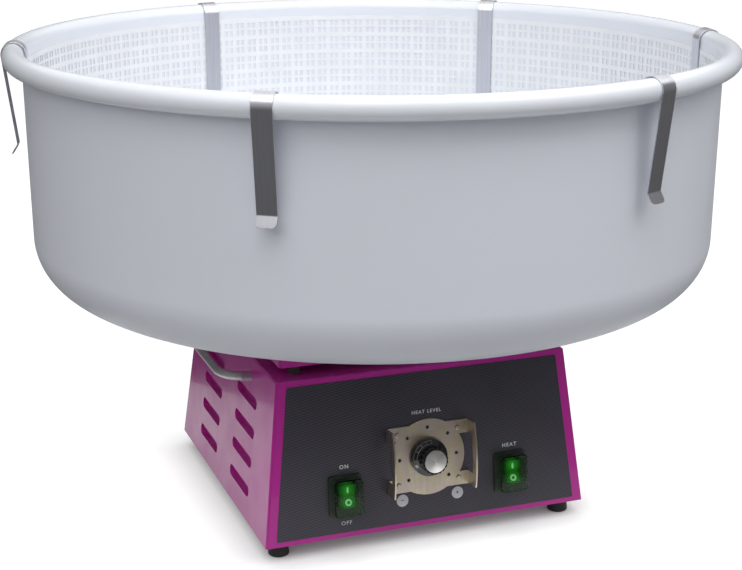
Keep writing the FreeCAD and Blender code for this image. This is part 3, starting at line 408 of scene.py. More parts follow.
class Grain(Effect):
    """Fine even grain of a sprayed or moulded skin, as a height from 0 to 1."""

    title = "Grain"
    inputs = {"Vector": SocketKind.VECTOR, "Scale": SocketKind.NUMBER}
    output = ("Height", SocketKind.NUMBER)
    fineness = 3.1                     # how much finer the second grain is than the first
    shares = (0.7, 0.3)                # of the first and of the second grain

    @classmethod
    def write(cls, graph: Graph, given: bpy.types.NodeOutputs) -> Socket:
        """Adds a fine grain to a broad one.

        Args:
            graph: the group's own tree.
            given: the group's inputs by name.

        Returns:
            The height.
        """
        broad = graph.noise(given["Vector"], given["Scale"], detail=1.0)
        finer = graph.math("MULTIPLY", given["Scale"], cls.fineness)
        fine = graph.noise(given["Vector"], finer, detail=1.0)
        parts = [graph.math("MULTIPLY", part, share) for part, share in zip((broad, fine), cls.shares)]
        return graph.math("ADD", *parts)


class Brushing(Effect):
    """Brushed lines, from a vector that is squeezed along the lines: a value from 0 to 1."""

    title = "Brushing"
    inputs = {"Vector": SocketKind.VECTOR, "Scale": SocketKind.NUMBER}
    output = ("Streak", SocketKind.NUMBER)
    broadness = 0.22                   # scale of the wide streaks as a share of the fine ones'
    shares = (0.45, 0.55)              # of the wide and of the fine streaks
    span = (0.34, 0.66)                # what their sum is stretched from

    @classmethod
    def write(cls, graph: Graph, given: bpy.types.NodeOutputs) -> Socket:
        """Adds fine streaks to wide ones.

        Args:
            graph: the group's own tree.
            given: the group's inputs by name.

        Returns:
            The streaks.
        """
        broader = graph.math("MULTIPLY", given["Scale"], cls.broadness)
        wide = graph.noise(given["Vector"], broader, detail=2.0)
        fine = graph.noise(given["Vector"], given["Scale"], detail=3.0, rough=0.7)
        parts = [graph.math("MULTIPLY", part, share) for part, share in zip((wide, fine), cls.shares)]
        return graph.remap(graph.math("ADD", *parts), *cls.span)


class EdgeWearAndPaintedLight(Effect):
    """Where the rounded edges take another colour, broken up along them: rubbing on most finishes, a painted
    highlight on the powder coat and painted shade on the glowing rocker.
    """

    title = "Edge wear"
    inputs = {"Vector": SocketKind.VECTOR, "Scale": SocketKind.NUMBER, "Amount": SocketKind.NUMBER}
    output = ("Mask", SocketKind.NUMBER)
    span = (0.38, 0.66)                # of the noise, from untouched to rubbed

    @classmethod
    def write(cls, graph: Graph, given: bpy.types.NodeOutputs) -> Socket:
        """Breaks up the marked edges with patches.

        Args:
            graph: the group's own tree.
            given: the group's inputs by name.

        Returns:
            The mask.
        """
        edge = graph.node("ShaderNodeAttribute", attribute_name=EDGE_ATTRIBUTE).outputs["Fac"]
        patches = graph.noise(given["Vector"], given["Scale"], detail=4.0, rough=0.65)
        broken = graph.math("MULTIPLY", edge, graph.remap(patches, *cls.span))
        return graph.math("MULTIPLY", broken, given["Amount"], clamp=True)


class Dust(Effect):
    """Sugar dust that lies on what faces up: a soft mask."""

    title = "Dust"
    inputs = {"Vector": SocketKind.VECTOR, "Amount": SocketKind.NUMBER}
    output = ("Mask", SocketKind.NUMBER)
    slope = (0.25, 1.0)                # upward part of the normal, from bare to covered
    scale = 60.0                       # how fine the patches are
    span = (0.35, 0.75)                # of the noise, from bare to covered

    @classmethod
    def write(cls, graph: Graph, given: bpy.types.NodeOutputs) -> Socket:
        """Lays patches of dust on the faces that look up.

        Args:
            graph: the group's own tree.
            given: the group's inputs by name.

        Returns:
            The mask.
        """
        normal = graph.node("ShaderNodeNewGeometry").outputs["Normal"]
        _, _, upward = graph.split(normal)
        facing = graph.remap(upward, *cls.slope, smooth=True)
        lying = graph.remap(graph.noise(given["Vector"], cls.scale, detail=5.0, rough=0.7), *cls.span)
        return graph.math("MULTIPLY", graph.math("MULTIPLY", facing, lying), given["Amount"])


class Ruling(Effect):
    """Even parallel lines along a coordinate: 0 between them, 1 in their middle."""

    title = "Ruling"
    inputs = {"Distance": SocketKind.NUMBER, "Pitch": SocketKind.NUMBER}
    output = ("Line", SocketKind.NUMBER)
    crest = 0.5                        # height of the wave in the middle of a line
    edges = (0.12, 0.38)               # heights at which a line starts and is full

    @classmethod
    def write(cls, graph: Graph, given: bpy.types.NodeOutputs) -> Socket:
        """Folds the distance into a wave and softens its edges.

        Args:
            graph: the group's own tree.
            given: the group's inputs by name.

        Returns:
            The line.
        """
        turns = graph.math("DIVIDE", given["Distance"], given["Pitch"])
        wave = graph.math("PINGPONG", turns, cls.crest)
        return graph.remap(wave, *cls.edges, smooth=True)


class RoundPlace(Effect):
    """Place about the machine's upright axis: way round at a named radius, radius and height."""

    title = "Round place"
    inputs = {"Vector": SocketKind.VECTOR, "Radius": SocketKind.NUMBER}
    output = ("Place", SocketKind.VECTOR)

    @classmethod
    def write(cls, graph: Graph, given: bpy.types.NodeOutputs) -> Socket:
        """Unrolls the place about the axis.

        Args:
            graph: the group's own tree.
            given: the group's inputs by name.

        Returns:
            The unrolled place.
        """
        x, y, z = graph.split(given["Vector"])
        angle = graph.math("ARCTAN2", y, x)
        squares = graph.math("ADD", graph.math("MULTIPLY", x, x), graph.math("MULTIPLY", y, y))
        around = graph.math("MULTIPLY", angle, given["Radius"])
        return graph.join(around, graph.math("SQRT", squares), z)


# ---------------------------------------------------------------- finishes
class Brush(Enum):
    """Which way a metal's brushed lines run, as the squeeze of its noise along each axis."""

    ALONG_Y = (1.0, 0.02, 1.0)
    UPRIGHT = (1.0, 1.0, 0.02)
    ROUND = (0.01, 1.0, 1.0)
    DOWN_THE_STRIP = (1.0, 0.02, 0.02)

    @property
    def goes_round(self) -> bool:
        """Whether the lines follow the machine's upright axis."""
        return self in (Brush.ROUND, Brush.DOWN_THE_STRIP)


@dataclass(frozen=True)
class Finish:
    """A surface finish: its colour, its gloss and the marks of making and use on it, with painted highlight
    or painted shade along the rounded edges of some.
    """

    name: str
    colour: Colour
    roughness: float
    metallic: float = 0.0
    specular: float = 0.5
    coat: float = 0.0
    coat_roughness: float = 0.1
    cloud_scale: float = 9.0
    cloud_amount: float = 0.04
    gloss_change: float = 0.06
    gloss_fineness: float = 3.0
    mirror_limit: float = 0.02
    grain_scale: float = 900.0
    grain_depth: float = 0.0
    wear_and_painted_light_colour: Colour | None = None
    wear_and_painted_light_amount: float = 0.8
    wear_and_painted_light_scale: float = 140.0
    dust_amount: float = 0.0
    dust_colour: Colour = (0.62, 0.60, 0.58)

    def place(self, graph: Graph) -> Socket:
        """Gives the place on the piece, in the machine's own frame."""
        return graph.node("ShaderNodeTexCoord").outputs["Object"]

    def tone(self, graph: Graph, place: Socket) -> Socket:
        """Writes the colour of the bare finish, before wear and dust.

        Args:
            graph: the material's tree.
            place: the place on the piece.

        Returns:
            The colour.
        """
        factor = graph.effect(Clouds, Vector=place, Scale=self.cloud_scale, Amount=self.cloud_amount)
        return graph.tinted(self.colour, factor)

    def gloss(self, graph: Graph, place: Socket) -> Socket:
        """Writes the roughness, a little uneven over the surface.

        Args:
            graph: the material's tree.
            place: the place on the piece.

        Returns:
            The roughness.
        """
        value = graph.noise(place, self.cloud_scale * self.gloss_fineness, detail=4.0, rough=0.6)
        low = max(self.roughness - self.gloss_change, self.mirror_limit)
        high = min(self.roughness + self.gloss_change, 1.0)
        return graph.remap(value, *USUAL_NOISE, low, high)

    def relief(self, graph: Graph, place: Socket) -> Socket | None:
        """Writes the fine grain.

        Args:
            graph: the material's tree.
            place: the place on the piece.

        Returns:
            The normal, or None where the finish has no grain.
        """
        if not self.grain_depth:
            return None
        grain = graph.effect(Grain, Vector=place, Scale=self.grain_scale)
        return graph.bump(grain, self.grain_depth)

    def shade(self, graph: Graph, shader: bpy.types.Node, place: Socket) -> None:
        """Sets what only some finishes have, on the shader itself."""

    def build(self) -> Material:
        """Builds the material.

        Returns:
            A material with one Principled shader, fed by this finish's nodes.
        """
        material = bpy.data.materials.new(self.name)
        material.use_nodes = True
        graph = Graph(material.node_tree)
        shader = material.node_tree.nodes["Principled BSDF"]
        place = self.place(graph)
        colour = self.tone(graph, place)
        # the edge colour is rubbing, and on some finishes a painted highlight or painted shade
        if self.wear_and_painted_light_colour is not None:
            wear_and_painted_light = graph.effect(EdgeWearAndPaintedLight, Vector=place, Scale=self.wear_and_painted_light_scale, Amount=self.wear_and_painted_light_amount)
            colour = graph.mix(wear_and_painted_light, colour, self.wear_and_painted_light_colour)
        if self.dust_amount:
            dust = graph.effect(Dust, Vector=place, Amount=self.dust_amount)
            colour = graph.mix(dust, colour, self.dust_colour)
        graph.feed(shader.inputs["Base Color"], colour)
        graph.feed(shader.inputs["Roughness"], self.gloss(graph, place))
        normal = self.relief(graph, place)
        if normal is not None:
            graph.feed(shader.inputs["Normal"], normal)
        shader.inputs["Metallic"].default_value = self.metallic
        shader.inputs["Specular IOR Level"].default_value = self.specular
        shader.inputs["Coat Weight"].default_value = self.coat
        shader.inputs["Coat Roughness"].default_value = self.coat_roughness
        self.shade(graph, shader, place)
        return material


@dataclass(frozen=True)
class BrushedMetal(Finish):
    """Bare metal with brushed, drawn or turned lines."""

    brush: Brush = Brush.UPRIGHT
    line_scale: float = 1400.0
    line_depth: float = 4e-6
    line_tone: float = 0.12
    turn_radius: float = 0.35

    def lines(self, graph: Graph, place: Socket) -> Socket:
        """Writes the lines.

        Args:
            graph: the material's tree.
            place: the place on the piece.

        Returns:
            The value of the lines, from 0 to 1.
        """
        if self.brush.goes_round:
            place = graph.effect(RoundPlace, Vector=place, Radius=self.turn_radius)
        squeezed = graph.scaled(place, self.brush.value)
        return graph.effect(Brushing, Vector=squeezed, Scale=self.line_scale)

    def tone(self, graph: Graph, place: Socket) -> Socket:
        """Writes the metal's colour, with lighter and darker lines.

        Args:
            graph: the material's tree.
            place: the place on the piece.

        Returns:
            The colour.
        """
        base = super().tone(graph, place)
        low, high = 1.0 - self.line_tone, 1.0 + self.line_tone
        return graph.tinted(base, graph.remap(self.lines(graph, place), 0.0, 1.0, low, high))

    def gloss(self, graph: Graph, place: Socket) -> Socket:
        """Writes the roughness, duller in the deeper lines.

        Args:
            graph: the material's tree.
            place: the place on the piece.

        Returns:
            The roughness.
        """
        dull = self.roughness + self.gloss_change
        bright = max(self.roughness - self.gloss_change, self.mirror_limit)
        return graph.remap(self.lines(graph, place), 0.0, 1.0, dull, bright)

    def relief(self, graph: Graph, place: Socket) -> Socket | None:
        """Writes the normal of the lines."""
        return graph.bump(self.lines(graph, place), self.line_depth)


@dataclass(frozen=True)
class MottledSteel(BrushedMetal):
    """Laser-cut steel with the blotches of heat and handling, in two tints."""

    blotch: Colour = (0.5, 0.5, 0.5)
    blotch_scale: float = 70.0
    blotch_span: Point2 = (0.42, 0.62)
    blotch_lines: Point2 = (0.94, 1.06)

    def tone(self, graph: Graph, place: Socket) -> Socket:
        """Writes the steel's colour with its blotches.

        Args:
            graph: the material's tree.
            place: the place on the piece.

        Returns:
            The colour.
        """
        base = super().tone(graph, place)
        value = graph.noise(place, self.blotch_scale, detail=3.0, rough=0.55)
        patches = graph.remap(value, *self.blotch_span, smooth=True)
        lined = graph.remap(self.lines(graph, place), 0.0, 1.0, *self.blotch_lines)
        return graph.mix(patches, base, graph.tinted(self.blotch, lined))


@dataclass(frozen=True)
class TurnedDisc(Finish):
    """Face-turned aluminium with fine rings; its two bright fan-shaped sectors are painted highlights in its
    colour, darker between them.
    """

    anisotropy: float = 0.5
    painted_fan_count: float = 2.0
    painted_fan_deg: float = 100.0
    painted_fan_edge: float = -0.6
    painted_fan_dark: float = 0.6

    def tone(self, graph: Graph, place: Socket) -> Socket:
        """Writes the metal's colour, with two opposite fan-shaped painted highlights from the middle, darker
        between them.

        Args:
            graph: the material's tree.
            place: the place on the disc.

        Returns:
            The colour.
        """
        x, y, _ = graph.split(place)
        # painted highlight: the colour is lighter in two fixed sectors and darker between them, standing in
        # for the light the turned rings catch
        turned = graph.math("SUBTRACT", graph.math("ARCTAN2", y, x), math.radians(self.painted_fan_deg))
        wave = graph.math("COSINE", graph.math("MULTIPLY", turned, self.painted_fan_count))
        painted_fans = graph.remap(wave, self.painted_fan_edge, 1.0, self.painted_fan_dark, 1.0)
        return graph.tinted(super().tone(graph, place), painted_fans)

    def shade(self, graph: Graph, shader: bpy.types.Node, place: Socket) -> None:
        """Stretches the highlights along the rings.

        Args:
            graph: the material's tree.
            shader: its Principled shader.
            place: not used.
        """
        shader.inputs["Anisotropic"].default_value = self.anisotropy
        tangent = graph.node("ShaderNodeTangent", direction_type="RADIAL", axis="Z")
        graph.feed(shader.inputs["Tangent"], tangent.outputs[0])


@dataclass(frozen=True)
class PrintedFilm(Finish):
    """Dark printed film with a fine slanted ruling."""

    line_colour: Colour = (0.05, 0.05, 0.06)
    line_pitch: float = 0.0026
    line_slope: float = math.tan(math.radians(12.0))
    line_share: float = 0.7

    def tone(self, graph: Graph, place: Socket) -> Socket:
        """Writes the dark ground with its slanted lines.

        Args:
            graph: the material's tree.
            place: the place on the film.

        Returns:
            The colour.
        """
        base = super().tone(graph, place)
        across, _, up = graph.split(place)
        height = graph.math("SUBTRACT", up, graph.math("MULTIPLY", across, self.line_slope))
        lines = graph.effect(Ruling, Distance=height, Pitch=self.line_pitch)
        return graph.mix(graph.math("MULTIPLY", lines, self.line_share), base, self.line_colour)


@dataclass(frozen=True)
class ClearCap(Finish):
    """Clear soft plastic that shows what is under it."""

    ior: float = 1.2
    haze_scale: float = 160.0
    haze_span: Point2 = (0.35, 0.7)
    haze_tone: float = 0.93

    def tone(self, graph: Graph, place: Socket) -> Socket:
        """Writes the plastic's tint, hazier in patches; on the switch caps the green tint is partly the
        plastic's own and partly painted glow of the rocker under it.

        Args:
            graph: the material's tree.
            place: the place on the cap.

        Returns:
            The colour.
        """
        haze = graph.remap(graph.noise(place, self.haze_scale, detail=3.0), *self.haze_span)
        return graph.mix(haze, self.colour, tuple(self.haze_tone * c for c in self.colour))

    def shade(self, graph: Graph, shader: bpy.types.Node, place: Socket) -> None:
        """Makes the plastic let light through."""
        shader.inputs["Transmission Weight"].default_value = 1.0
        shader.inputs["IOR"].default_value = self.ior


@dataclass(frozen=True)
class LitPlastic(Finish):
    """Translucent plastic with small lamps behind it."""

    lamps: tuple[Point3, ...] = ()
    glow_colour: Colour = (0.02, 0.4, 0.03)
    glow_strength: float = 1.0
    glow_reach: float = 0.012
    ripple_scale: float = 300.0
    ripple_dark: float = 0.75

    def shade(self, graph: Graph, shader: bpy.types.Node, place: Socket) -> None:
        """Makes the plastic glow, brightest over each lamp.

        Args:
            graph: the material's tree.
            shader: its Principled shader.
            place: the place on the piece.
        """
        glow: Value = 0.0
        for lamp in self.lamps:
            gap = graph.node("ShaderNodeVectorMath", operation="DISTANCE")
            graph.feed(gap.inputs[0], place)
            graph.feed(gap.inputs[1], lamp)
            near = graph.remap(gap.outputs["Value"], 0.0, self.glow_reach, 1.0, 0.0, smooth=True)
            glow = graph.math("MAXIMUM", glow, near)
        ripple = graph.remap(graph.noise(place, self.ripple_scale), *USUAL_NOISE, self.ripple_dark, 1.0)
        mask = graph.math("MULTIPLY", glow, ripple)
        graph.feed(shader.inputs["Emission Color"], graph.tinted(self.glow_colour, mask))
        shader.inputs["Emission Strength"].default_value = self.glow_strength


MAGENTA = (0.62, 0.026, 0.385)

FINISHES: dict[str, Finish] = {finish.name: finish for finish in (
    # The powder coat's paler edge colour is partly rubbing and partly a painted highlight along the bends of
    # the sheet.
    Finish("magenta_powder_coat", MAGENTA, 0.34, specular=0.3, coat=0.3, coat_roughness=0.08,
           grain_scale=620.0, grain_depth=1.2e-5, wear_and_painted_light_colour=(0.62, 0.13, 0.48), wear_and_painted_light_amount=0.55,
           dust_amount=0.22, dust_colour=(0.66, 0.42, 0.6)),
    PrintedFilm("panel_film", (0.042, 0.038, 0.050), 0.38, specular=0.42, cloud_scale=6.0, cloud_amount=0.18,
                gloss_change=0.05, grain_scale=1400.0, grain_depth=6e-6,
                line_colour=(0.080, 0.075, 0.102), wear_and_painted_light_colour=(0.07, 0.06, 0.07)),
    Finish("white_ink", (0.80, 0.81, 0.86), 0.5, cloud_scale=60.0, cloud_amount=0.08),
    Finish("pale_print", (0.26, 0.27, 0.29), 0.5, cloud_scale=60.0, cloud_amount=0.1),
    Finish("grey_ink", (0.10, 0.10, 0.13), 0.5, cloud_scale=60.0, cloud_amount=0.1),
    MottledSteel("guard_steel", (0.50, 0.445, 0.33), 0.36, metallic=0.9, cloud_scale=45.0, cloud_amount=0.1,
                 gloss_change=0.07, brush=Brush.UPRIGHT, line_tone=0.07, line_depth=2e-6,
                 blotch=(0.50, 0.425, 0.385), wear_and_painted_light_colour=(0.75, 0.72, 0.66)),
    BrushedMetal("clip_steel", (0.66, 0.665, 0.715), 0.36, metallic=1.0, brush=Brush.DOWN_THE_STRIP,
                 line_scale=1500.0, line_tone=0.10, line_depth=3e-6, wear_and_painted_light_colour=(0.75, 0.75, 0.75)),
    BrushedMetal("satin_rod", (0.50, 0.50, 0.50), 0.52, metallic=0.8, brush=Brush.ALONG_Y,
                 line_tone=0.04, line_depth=1e-6, wear_and_painted_light_colour=(0.8, 0.8, 0.8)),
    BrushedMetal("zinc", (0.62, 0.63, 0.64), 0.34, metallic=1.0, brush=Brush.ROUND, line_tone=0.08,
                 cloud_scale=300.0, cloud_amount=0.12, wear_and_painted_light_colour=(0.85, 0.85, 0.85)),
    BrushedMetal("screw_steel", (0.46, 0.42, 0.36), 0.38, metallic=0.9, brush=Brush.UPRIGHT, line_tone=0.06,
                 cloud_scale=300.0, cloud_amount=0.15, wear_and_painted_light_colour=(0.7, 0.68, 0.62)),
    Finish("black_moulding", (0.014, 0.014, 0.015), 0.36, grain_scale=2600.0, grain_depth=8e-6,
           wear_and_painted_light_colour=(0.08, 0.08, 0.085)),
    Finish("knob_gloss_black", (0.009, 0.009, 0.010), 0.16, coat=0.3, coat_roughness=0.05,
           grain_scale=1800.0, grain_depth=2e-6, wear_and_painted_light_colour=(0.05, 0.05, 0.055)),
    TurnedDisc("turned_aluminium", (0.90, 0.89, 0.87), 0.30, metallic=1.0, gloss_change=0.03,
               wear_and_painted_light_colour=(0.9, 0.9, 0.9)),
    # The cap's green tint is partly the plastic's own grey-green and partly painted light: the green glow of
    # the rocker under it.
    ClearCap("clear_cap", (0.66, 0.86, 0.66), 0.07, gloss_change=0.02, grain_scale=700.0, grain_depth=2e-6),
    Finish("regulator_case", (0.05, 0.055, 0.06), 0.42, metallic=0.6, grain_scale=1500.0, grain_depth=6e-6,
           wear_and_painted_light_colour=(0.4, 0.4, 0.42)),
    Finish("block_plastic", (0.62, 0.60, 0.54), 0.5, grain_scale=1200.0, grain_depth=8e-6),
    Finish("motor_enamel", (0.055, 0.06, 0.07), 0.4, coat=0.2, grain_scale=800.0, grain_depth=1.5e-5,
           wear_and_painted_light_colour=(0.35, 0.35, 0.36), dust_amount=0.2),
    BrushedMetal("cast_aluminium", (0.63, 0.64, 0.65), 0.33, metallic=1.0, brush=Brush.ROUND,
                 line_tone=0.08, line_depth=6e-6, turn_radius=0.06, dust_amount=0.25,
                 dust_colour=(0.8, 0.76, 0.78), wear_and_painted_light_colour=(0.85, 0.85, 0.86)),
    BrushedMetal("bearing_steel", (0.62, 0.62, 0.64), 0.2, metallic=1.0, brush=Brush.ROUND,
                 turn_radius=0.02, line_tone=0.05, wear_and_painted_light_colour=(0.85, 0.85, 0.85)),
    Finish("carbon", (0.025, 0.025, 0.027), 0.62, grain_scale=2500.0, grain_depth=2e-5),
    BrushedMetal("laminated_iron", (0.30, 0.29, 0.28), 0.42, metallic=0.9, brush=Brush.ROUND,
                 turn_radius=0.03, line_scale=1800.0, line_tone=0.2, line_depth=1e-5),
    BrushedMetal("ring_brass", (0.72, 0.50, 0.20), 0.24, metallic=1.0, brush=Brush.ROUND,
                 turn_radius=0.018, wear_and_painted_light_colour=(0.85, 0.68, 0.38)),
    BrushedMetal("band_steel", (0.60, 0.60, 0.61), 0.26, metallic=1.0, brush=Brush.ROUND,
                 turn_radius=0.065, line_tone=0.08, wear_and_painted_light_colour=(0.85, 0.85, 0.85)),
    Finish("heater_ribbon", (0.19, 0.16, 0.14), 0.5, metallic=0.85, cloud_scale=90.0, cloud_amount=0.35,
           grain_scale=1500.0, grain_depth=8e-6),
    # bowl_plastic and the finish after it are shaded and brightly lighted copies of one white plastic: the
    # outer wall's darker colour and the paler rim and inside are painted light; their roughness differs as
    # the plastic's own
    Finish("bowl_plastic", (0.785, 0.815, 0.888), 0.45, specular=0.25, cloud_scale=4.0, cloud_amount=0.015,
           grain_scale=420.0, grain_depth=1.4e-5, wear_and_painted_light_colour=(0.80, 0.81, 0.84)),
    Finish("bowl_gloss_painted_light", (0.855, 0.888, 0.95), 0.24, cloud_scale=4.0, cloud_amount=0.012,
           gloss_change=0.01, grain_scale=420.0, grain_depth=8e-6),
    Finish("net_cord", (0.905, 0.918, 0.94), 0.5, cloud_scale=30.0, cloud_amount=0.03, grain_scale=1600.0,
           grain_depth=2e-5),
    Finish("foot_rubber", (0.018, 0.018, 0.019), 0.66, grain_scale=1300.0, grain_depth=3e-5,
           cloud_amount=0.2, wear_and_painted_light_colour=(0.07, 0.068, 0.066), dust_amount=0.3),
    Finish("damper_rubber", (0.10, 0.09, 0.085), 0.6, grain_scale=1300.0, grain_depth=3e-5,
           cloud_amount=0.2, wear_and_painted_light_colour=(0.2, 0.19, 0.18)),
)}


# ---------------------------------------------------------------- mesh work
def new_piece(name: str, mesh: bpy.types.Mesh) -> Piece:
    """Links a mesh into the scene.

    Args:
        name: the piece's name.
        mesh: its mesh.

    Returns:
        The new piece.
    """
    piece = bpy.data.objects.new(name, mesh)
    bpy.context.scene.collection.objects.link(piece)
    return piece


def plain_mesh(shape: bmesh.types.BMesh, name: str) -> bpy.types.Mesh:
    """Turns a shape into a mesh, and frees the shape.

    Args:
        shape: the shape.
        name: the mesh's name.

    Returns:
        The mesh.
    """
    mesh = bpy.data.meshes.new(name)
    shape.to_mesh(mesh)
    shape.free()
    return mesh


def closed_mesh(shape: bmesh.types.BMesh, name: str) -> bpy.types.Mesh:
    """Turns a closed shape into a mesh whose faces look outwards, and frees the shape."""
    bmesh.ops.recalc_face_normals(shape, faces=shape.faces)
    return plain_mesh(shape, name)


def round_edges(shape: bmesh.types.BMesh, radius: float) -> None:
    """Rounds the sharp edges of a shape and marks the middle of each rounding.

    Args:
        shape: the shape, which is changed.
        radius: how far in from the edge the rounding starts.
    """
    layer = shape.verts.layers.float.new(EDGE_ATTRIBUTE)
    sharp = [e for e in shape.edges if e.is_manifold and e.calc_face_angle(0.0) > SHARP_ANGLE]
    if not sharp or not radius:
        return
    made = bmesh.ops.bevel(shape, geom=sharp, offset=radius, offset_type="OFFSET", segments=EDGE_FACETS,
                           profile=ARC_PROFILE, affect="EDGES", clamp_overlap=True)
    rounded = set(made["faces"])
    for vert in {v for face in rounded for v in face.verts}:
        if all(face in rounded for face in vert.link_faces):
            vert[layer] = 1.0


def smooth(piece: Piece) -> Piece:
    """Shades a piece smooth, with its broad faces kept flat.

    Args:
        piece: the piece, which is changed.

    Returns:
        The piece.
    """
    for face in piece.data.polygons:
        face.use_smooth = True
    weighted = piece.modifiers.new("Weighted normals", "WEIGHTED_NORMAL")
    weighted.weight = BROAD_FACE_WEIGHT
    return piece


def rounded_copy(node: str, radius: float) -> Piece:
    """Copies a node with its facets joined and its sharp edges rounded, as they are when made.

    Args:
        node: the node of the frame.
        radius: the size of the rounding.

    Returns:
        The new piece, in the node's place.
    """
    shape = bmesh.new()
    shape.from_mesh(frame["nodes"][node].data)
    bmesh.ops.remove_doubles(shape, verts=shape.verts, dist=WELD_DISTANCE)
    bmesh.ops.dissolve_limit(shape, angle_limit=FLAT_ANGLE, verts=shape.verts, edges=shape.edges)
    round_edges(shape, radius)
    name = f"{node}_made"
    return smooth(new_piece(name, closed_mesh(shape, name)))


def arc(centre: Point2, radius: float, start_deg: float, end_deg: float, count: int) -> list[Point2]:
    """Gives the points along an arc of an outline.

    Args:
        centre: the arc's centre.
        radius: its radius.
        start_deg: its first angle.
        end_deg: its last angle.
        count: facets along it.

    Returns:
        Its points, both ends among them.
    """
    angles = (math.radians(start_deg + (end_deg - start_deg) * i / count) for i in range(count + 1))
    return [(centre[0] + radius * math.cos(a), centre[1] + radius * math.sin(a)) for a in angles]


def tube_section(inner: float, outer: float, low: float, high: float) -> list[Point2]:
    """Outline of a ring with square edges, or of a disc where the inner radius is 0."""
    return [(inner, low), (outer, low), (outer, high), (inner, high)]


def lathe(name: str, outline: Sequence[Point2], segments: int, edge: float,
          place: Matrix | None = None) -> Piece:
    """Turns a closed outline of radius and height round the Z axis.

    Args:
        name: the piece's name.
        outline: the section, as radius and height. A radius of 0 closes it at the axis.
        segments: facets round the axis.
        edge: the rounding of its sharp edges.
        place: where the piece stands, or None for the machine's own axis.

    Returns:
        The new piece.
    """
    shape = bmesh.new()
    rings: list[list[bmesh.types.BMVert]] = []
    for radius, height in outline:
        count = segments if radius > WELD_DISTANCE else 1
        turns = (math.tau * i / count for i in range(count))
        rings.append([shape.verts.new((radius * math.cos(t), radius * math.sin(t), height)) for t in turns])
    for low, high in zip(rings, rings[1:] + rings[:1]):
        for i in range(segments):
            j = (i + 1) % segments
            corners = [low[i % len(low)], low[j % len(low)], high[j % len(high)], high[i % len(high)]]
            unique = list(dict.fromkeys(corners))
            if len(unique) > 2:
                shape.faces.new(unique)
    round_edges(shape, edge)
    piece = smooth(new_piece(name, closed_mesh(shape, name)))
    if place is not None:
        piece.matrix_world = place
    return piece


def strip(name: str, rails: Sequence[tuple[Vector, Vector]], thickness: Vector) -> Piece:
    """Makes a thin closed strip between two rails.

    Args:
        name: the piece's name.
        rails: pairs of points, one on each side of the strip.
        thickness: the way from the strip's underside to its top.

    Returns:
        The new piece.
    """
    shape = bmesh.new()
    sections = [[shape.verts.new(p) for p in (a, b, b + thickness, a + thickness)] for a, b in rails]
    for first, second in zip(sections, sections[1:]):
        for i in range(len(first)):
            j = (i + 1) % len(first)
            shape.faces.new((first[i], first[j], second[j], second[i]))
    shape.faces.new(sections[0])
    shape.faces.new(sections[-1])
    return new_piece(name, closed_mesh(shape, name))


def joined(name: str, pieces: Sequence[Piece]) -> Piece:
    """Joins several meshes that share one place, and removes them.

    Args:
        name: the new piece's name.
        pieces: the pieces to join.

    Returns:
        The new piece.
    """
    shape = bmesh.new()
    for piece in pieces:
        shape.from_mesh(piece.data)
        bpy.data.objects.remove(piece)
    return new_piece(name, plain_mesh(shape, name))


def lettering(name: str, text: str, height: float, rise: float, place: Matrix, spacing: float = 1.0) -> Piece:
    """Makes printed letters as a thin raised mesh.

    Args:
        name: the piece's name.
        text: the letters.
        height: the height of a capital letter.
        rise: how far the ink stands up.
        place: the frame of the middle of the text.
        spacing: how far apart the letters stand, 1 as the font has them.

    Returns:
        The new piece.
    """
    curve = bpy.data.curves.new(name, "FONT")
    curve.body = text
    curve.size = height / CAPITAL_SHARE
    curve.space_character = spacing
    curve.align_x, curve.align_y = "CENTER", "CENTER"
    curve.extrude = rise / 2
    curve.offset = height * INK_SPREAD
    curve.resolution_u = LETTER_FACETS
    sketch = bpy.data.objects.new(name + "_sketch", curve)
    bpy.context.scene.collection.objects.link(sketch)
    bpy.context.view_layer.update()
    mesh = bpy.data.meshes.new_from_object(sketch.evaluated_get(bpy.context.evaluated_depsgraph_get()))
    bpy.data.objects.remove(sketch)
    mesh.transform(place @ Matrix.Translation((0.0, 0.0, rise / 2)))
    return new_piece(name, mesh)


# ---------------------------------------------------------------- dressing the pieces
class Workshop:
    """Gives pieces their finish and the body they ride on, and keeps count of them."""

    def __init__(self) -> None:
        """Starts with no material built."""
        self.materials: dict[str, Material] = {}
        self.dressed: set[str] = set()

    def material(self, finish: str) -> Material:
        """Builds a finish, the first time it is asked for.

        Args:
            finish: the finish's name.

        Returns:
            Its material.
        """
        if finish not in self.materials:
            self.materials[finish] = FINISHES[finish].build()
        return self.materials[finish]

    def paint(self, piece: Piece, finish: str) -> None:
        """Puts one finish all over a piece."""
        piece.data.materials.clear()
        piece.data.materials.append(self.material(finish))

    def keep(self, finish: str, *nodes: str) -> None:
        """Keeps nodes of the frame as they are, with a finish on them.

        Args:
            finish: the finish.
            *nodes: the nodes.
        """
        for name in nodes:
            self.paint(frame["nodes"][name], finish)
            self.dressed.add(name)
            log.info("%s keeps its shape, in %s", name, finish)

    def soften(self, finish: str, radius: float, *nodes: str) -> None:
        """Stands rounded copies in the place of nodes.

        Args:
            finish: the finish of the copies.
            radius: the rounding of their edges.
            *nodes: the nodes that they stand for.
        """
        for name in nodes:
            node = frame["nodes"][name]
            slot = node.data.materials[0].name.split(".")[0]
            self.add(rounded_copy(name, radius), node["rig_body"], finish, slot, name)

    def add(self, piece: Piece, body: str, finish: str, slot: str, *replaced: str) -> None:
        """Finishes a new piece.

        Args:
            piece: the piece, in its place.
            body: the body it rides on.
            finish: its finish.
            slot: the record's material slot; not used.
            *replaced: nodes that it stands for.
        """
        self.paint(piece, finish)
        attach(piece, body)
        if replaced:
            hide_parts(*replaced)
            self.dressed.update(replaced)
        log.info("%s rides on %s, in %s: %d faces", piece.name, body, finish, len(piece.data.polygons))

    def undressed(self) -> list[str]:
        """Names the nodes that have no finish yet."""
        return sorted(set(frame["nodes"]) - self.dressed)


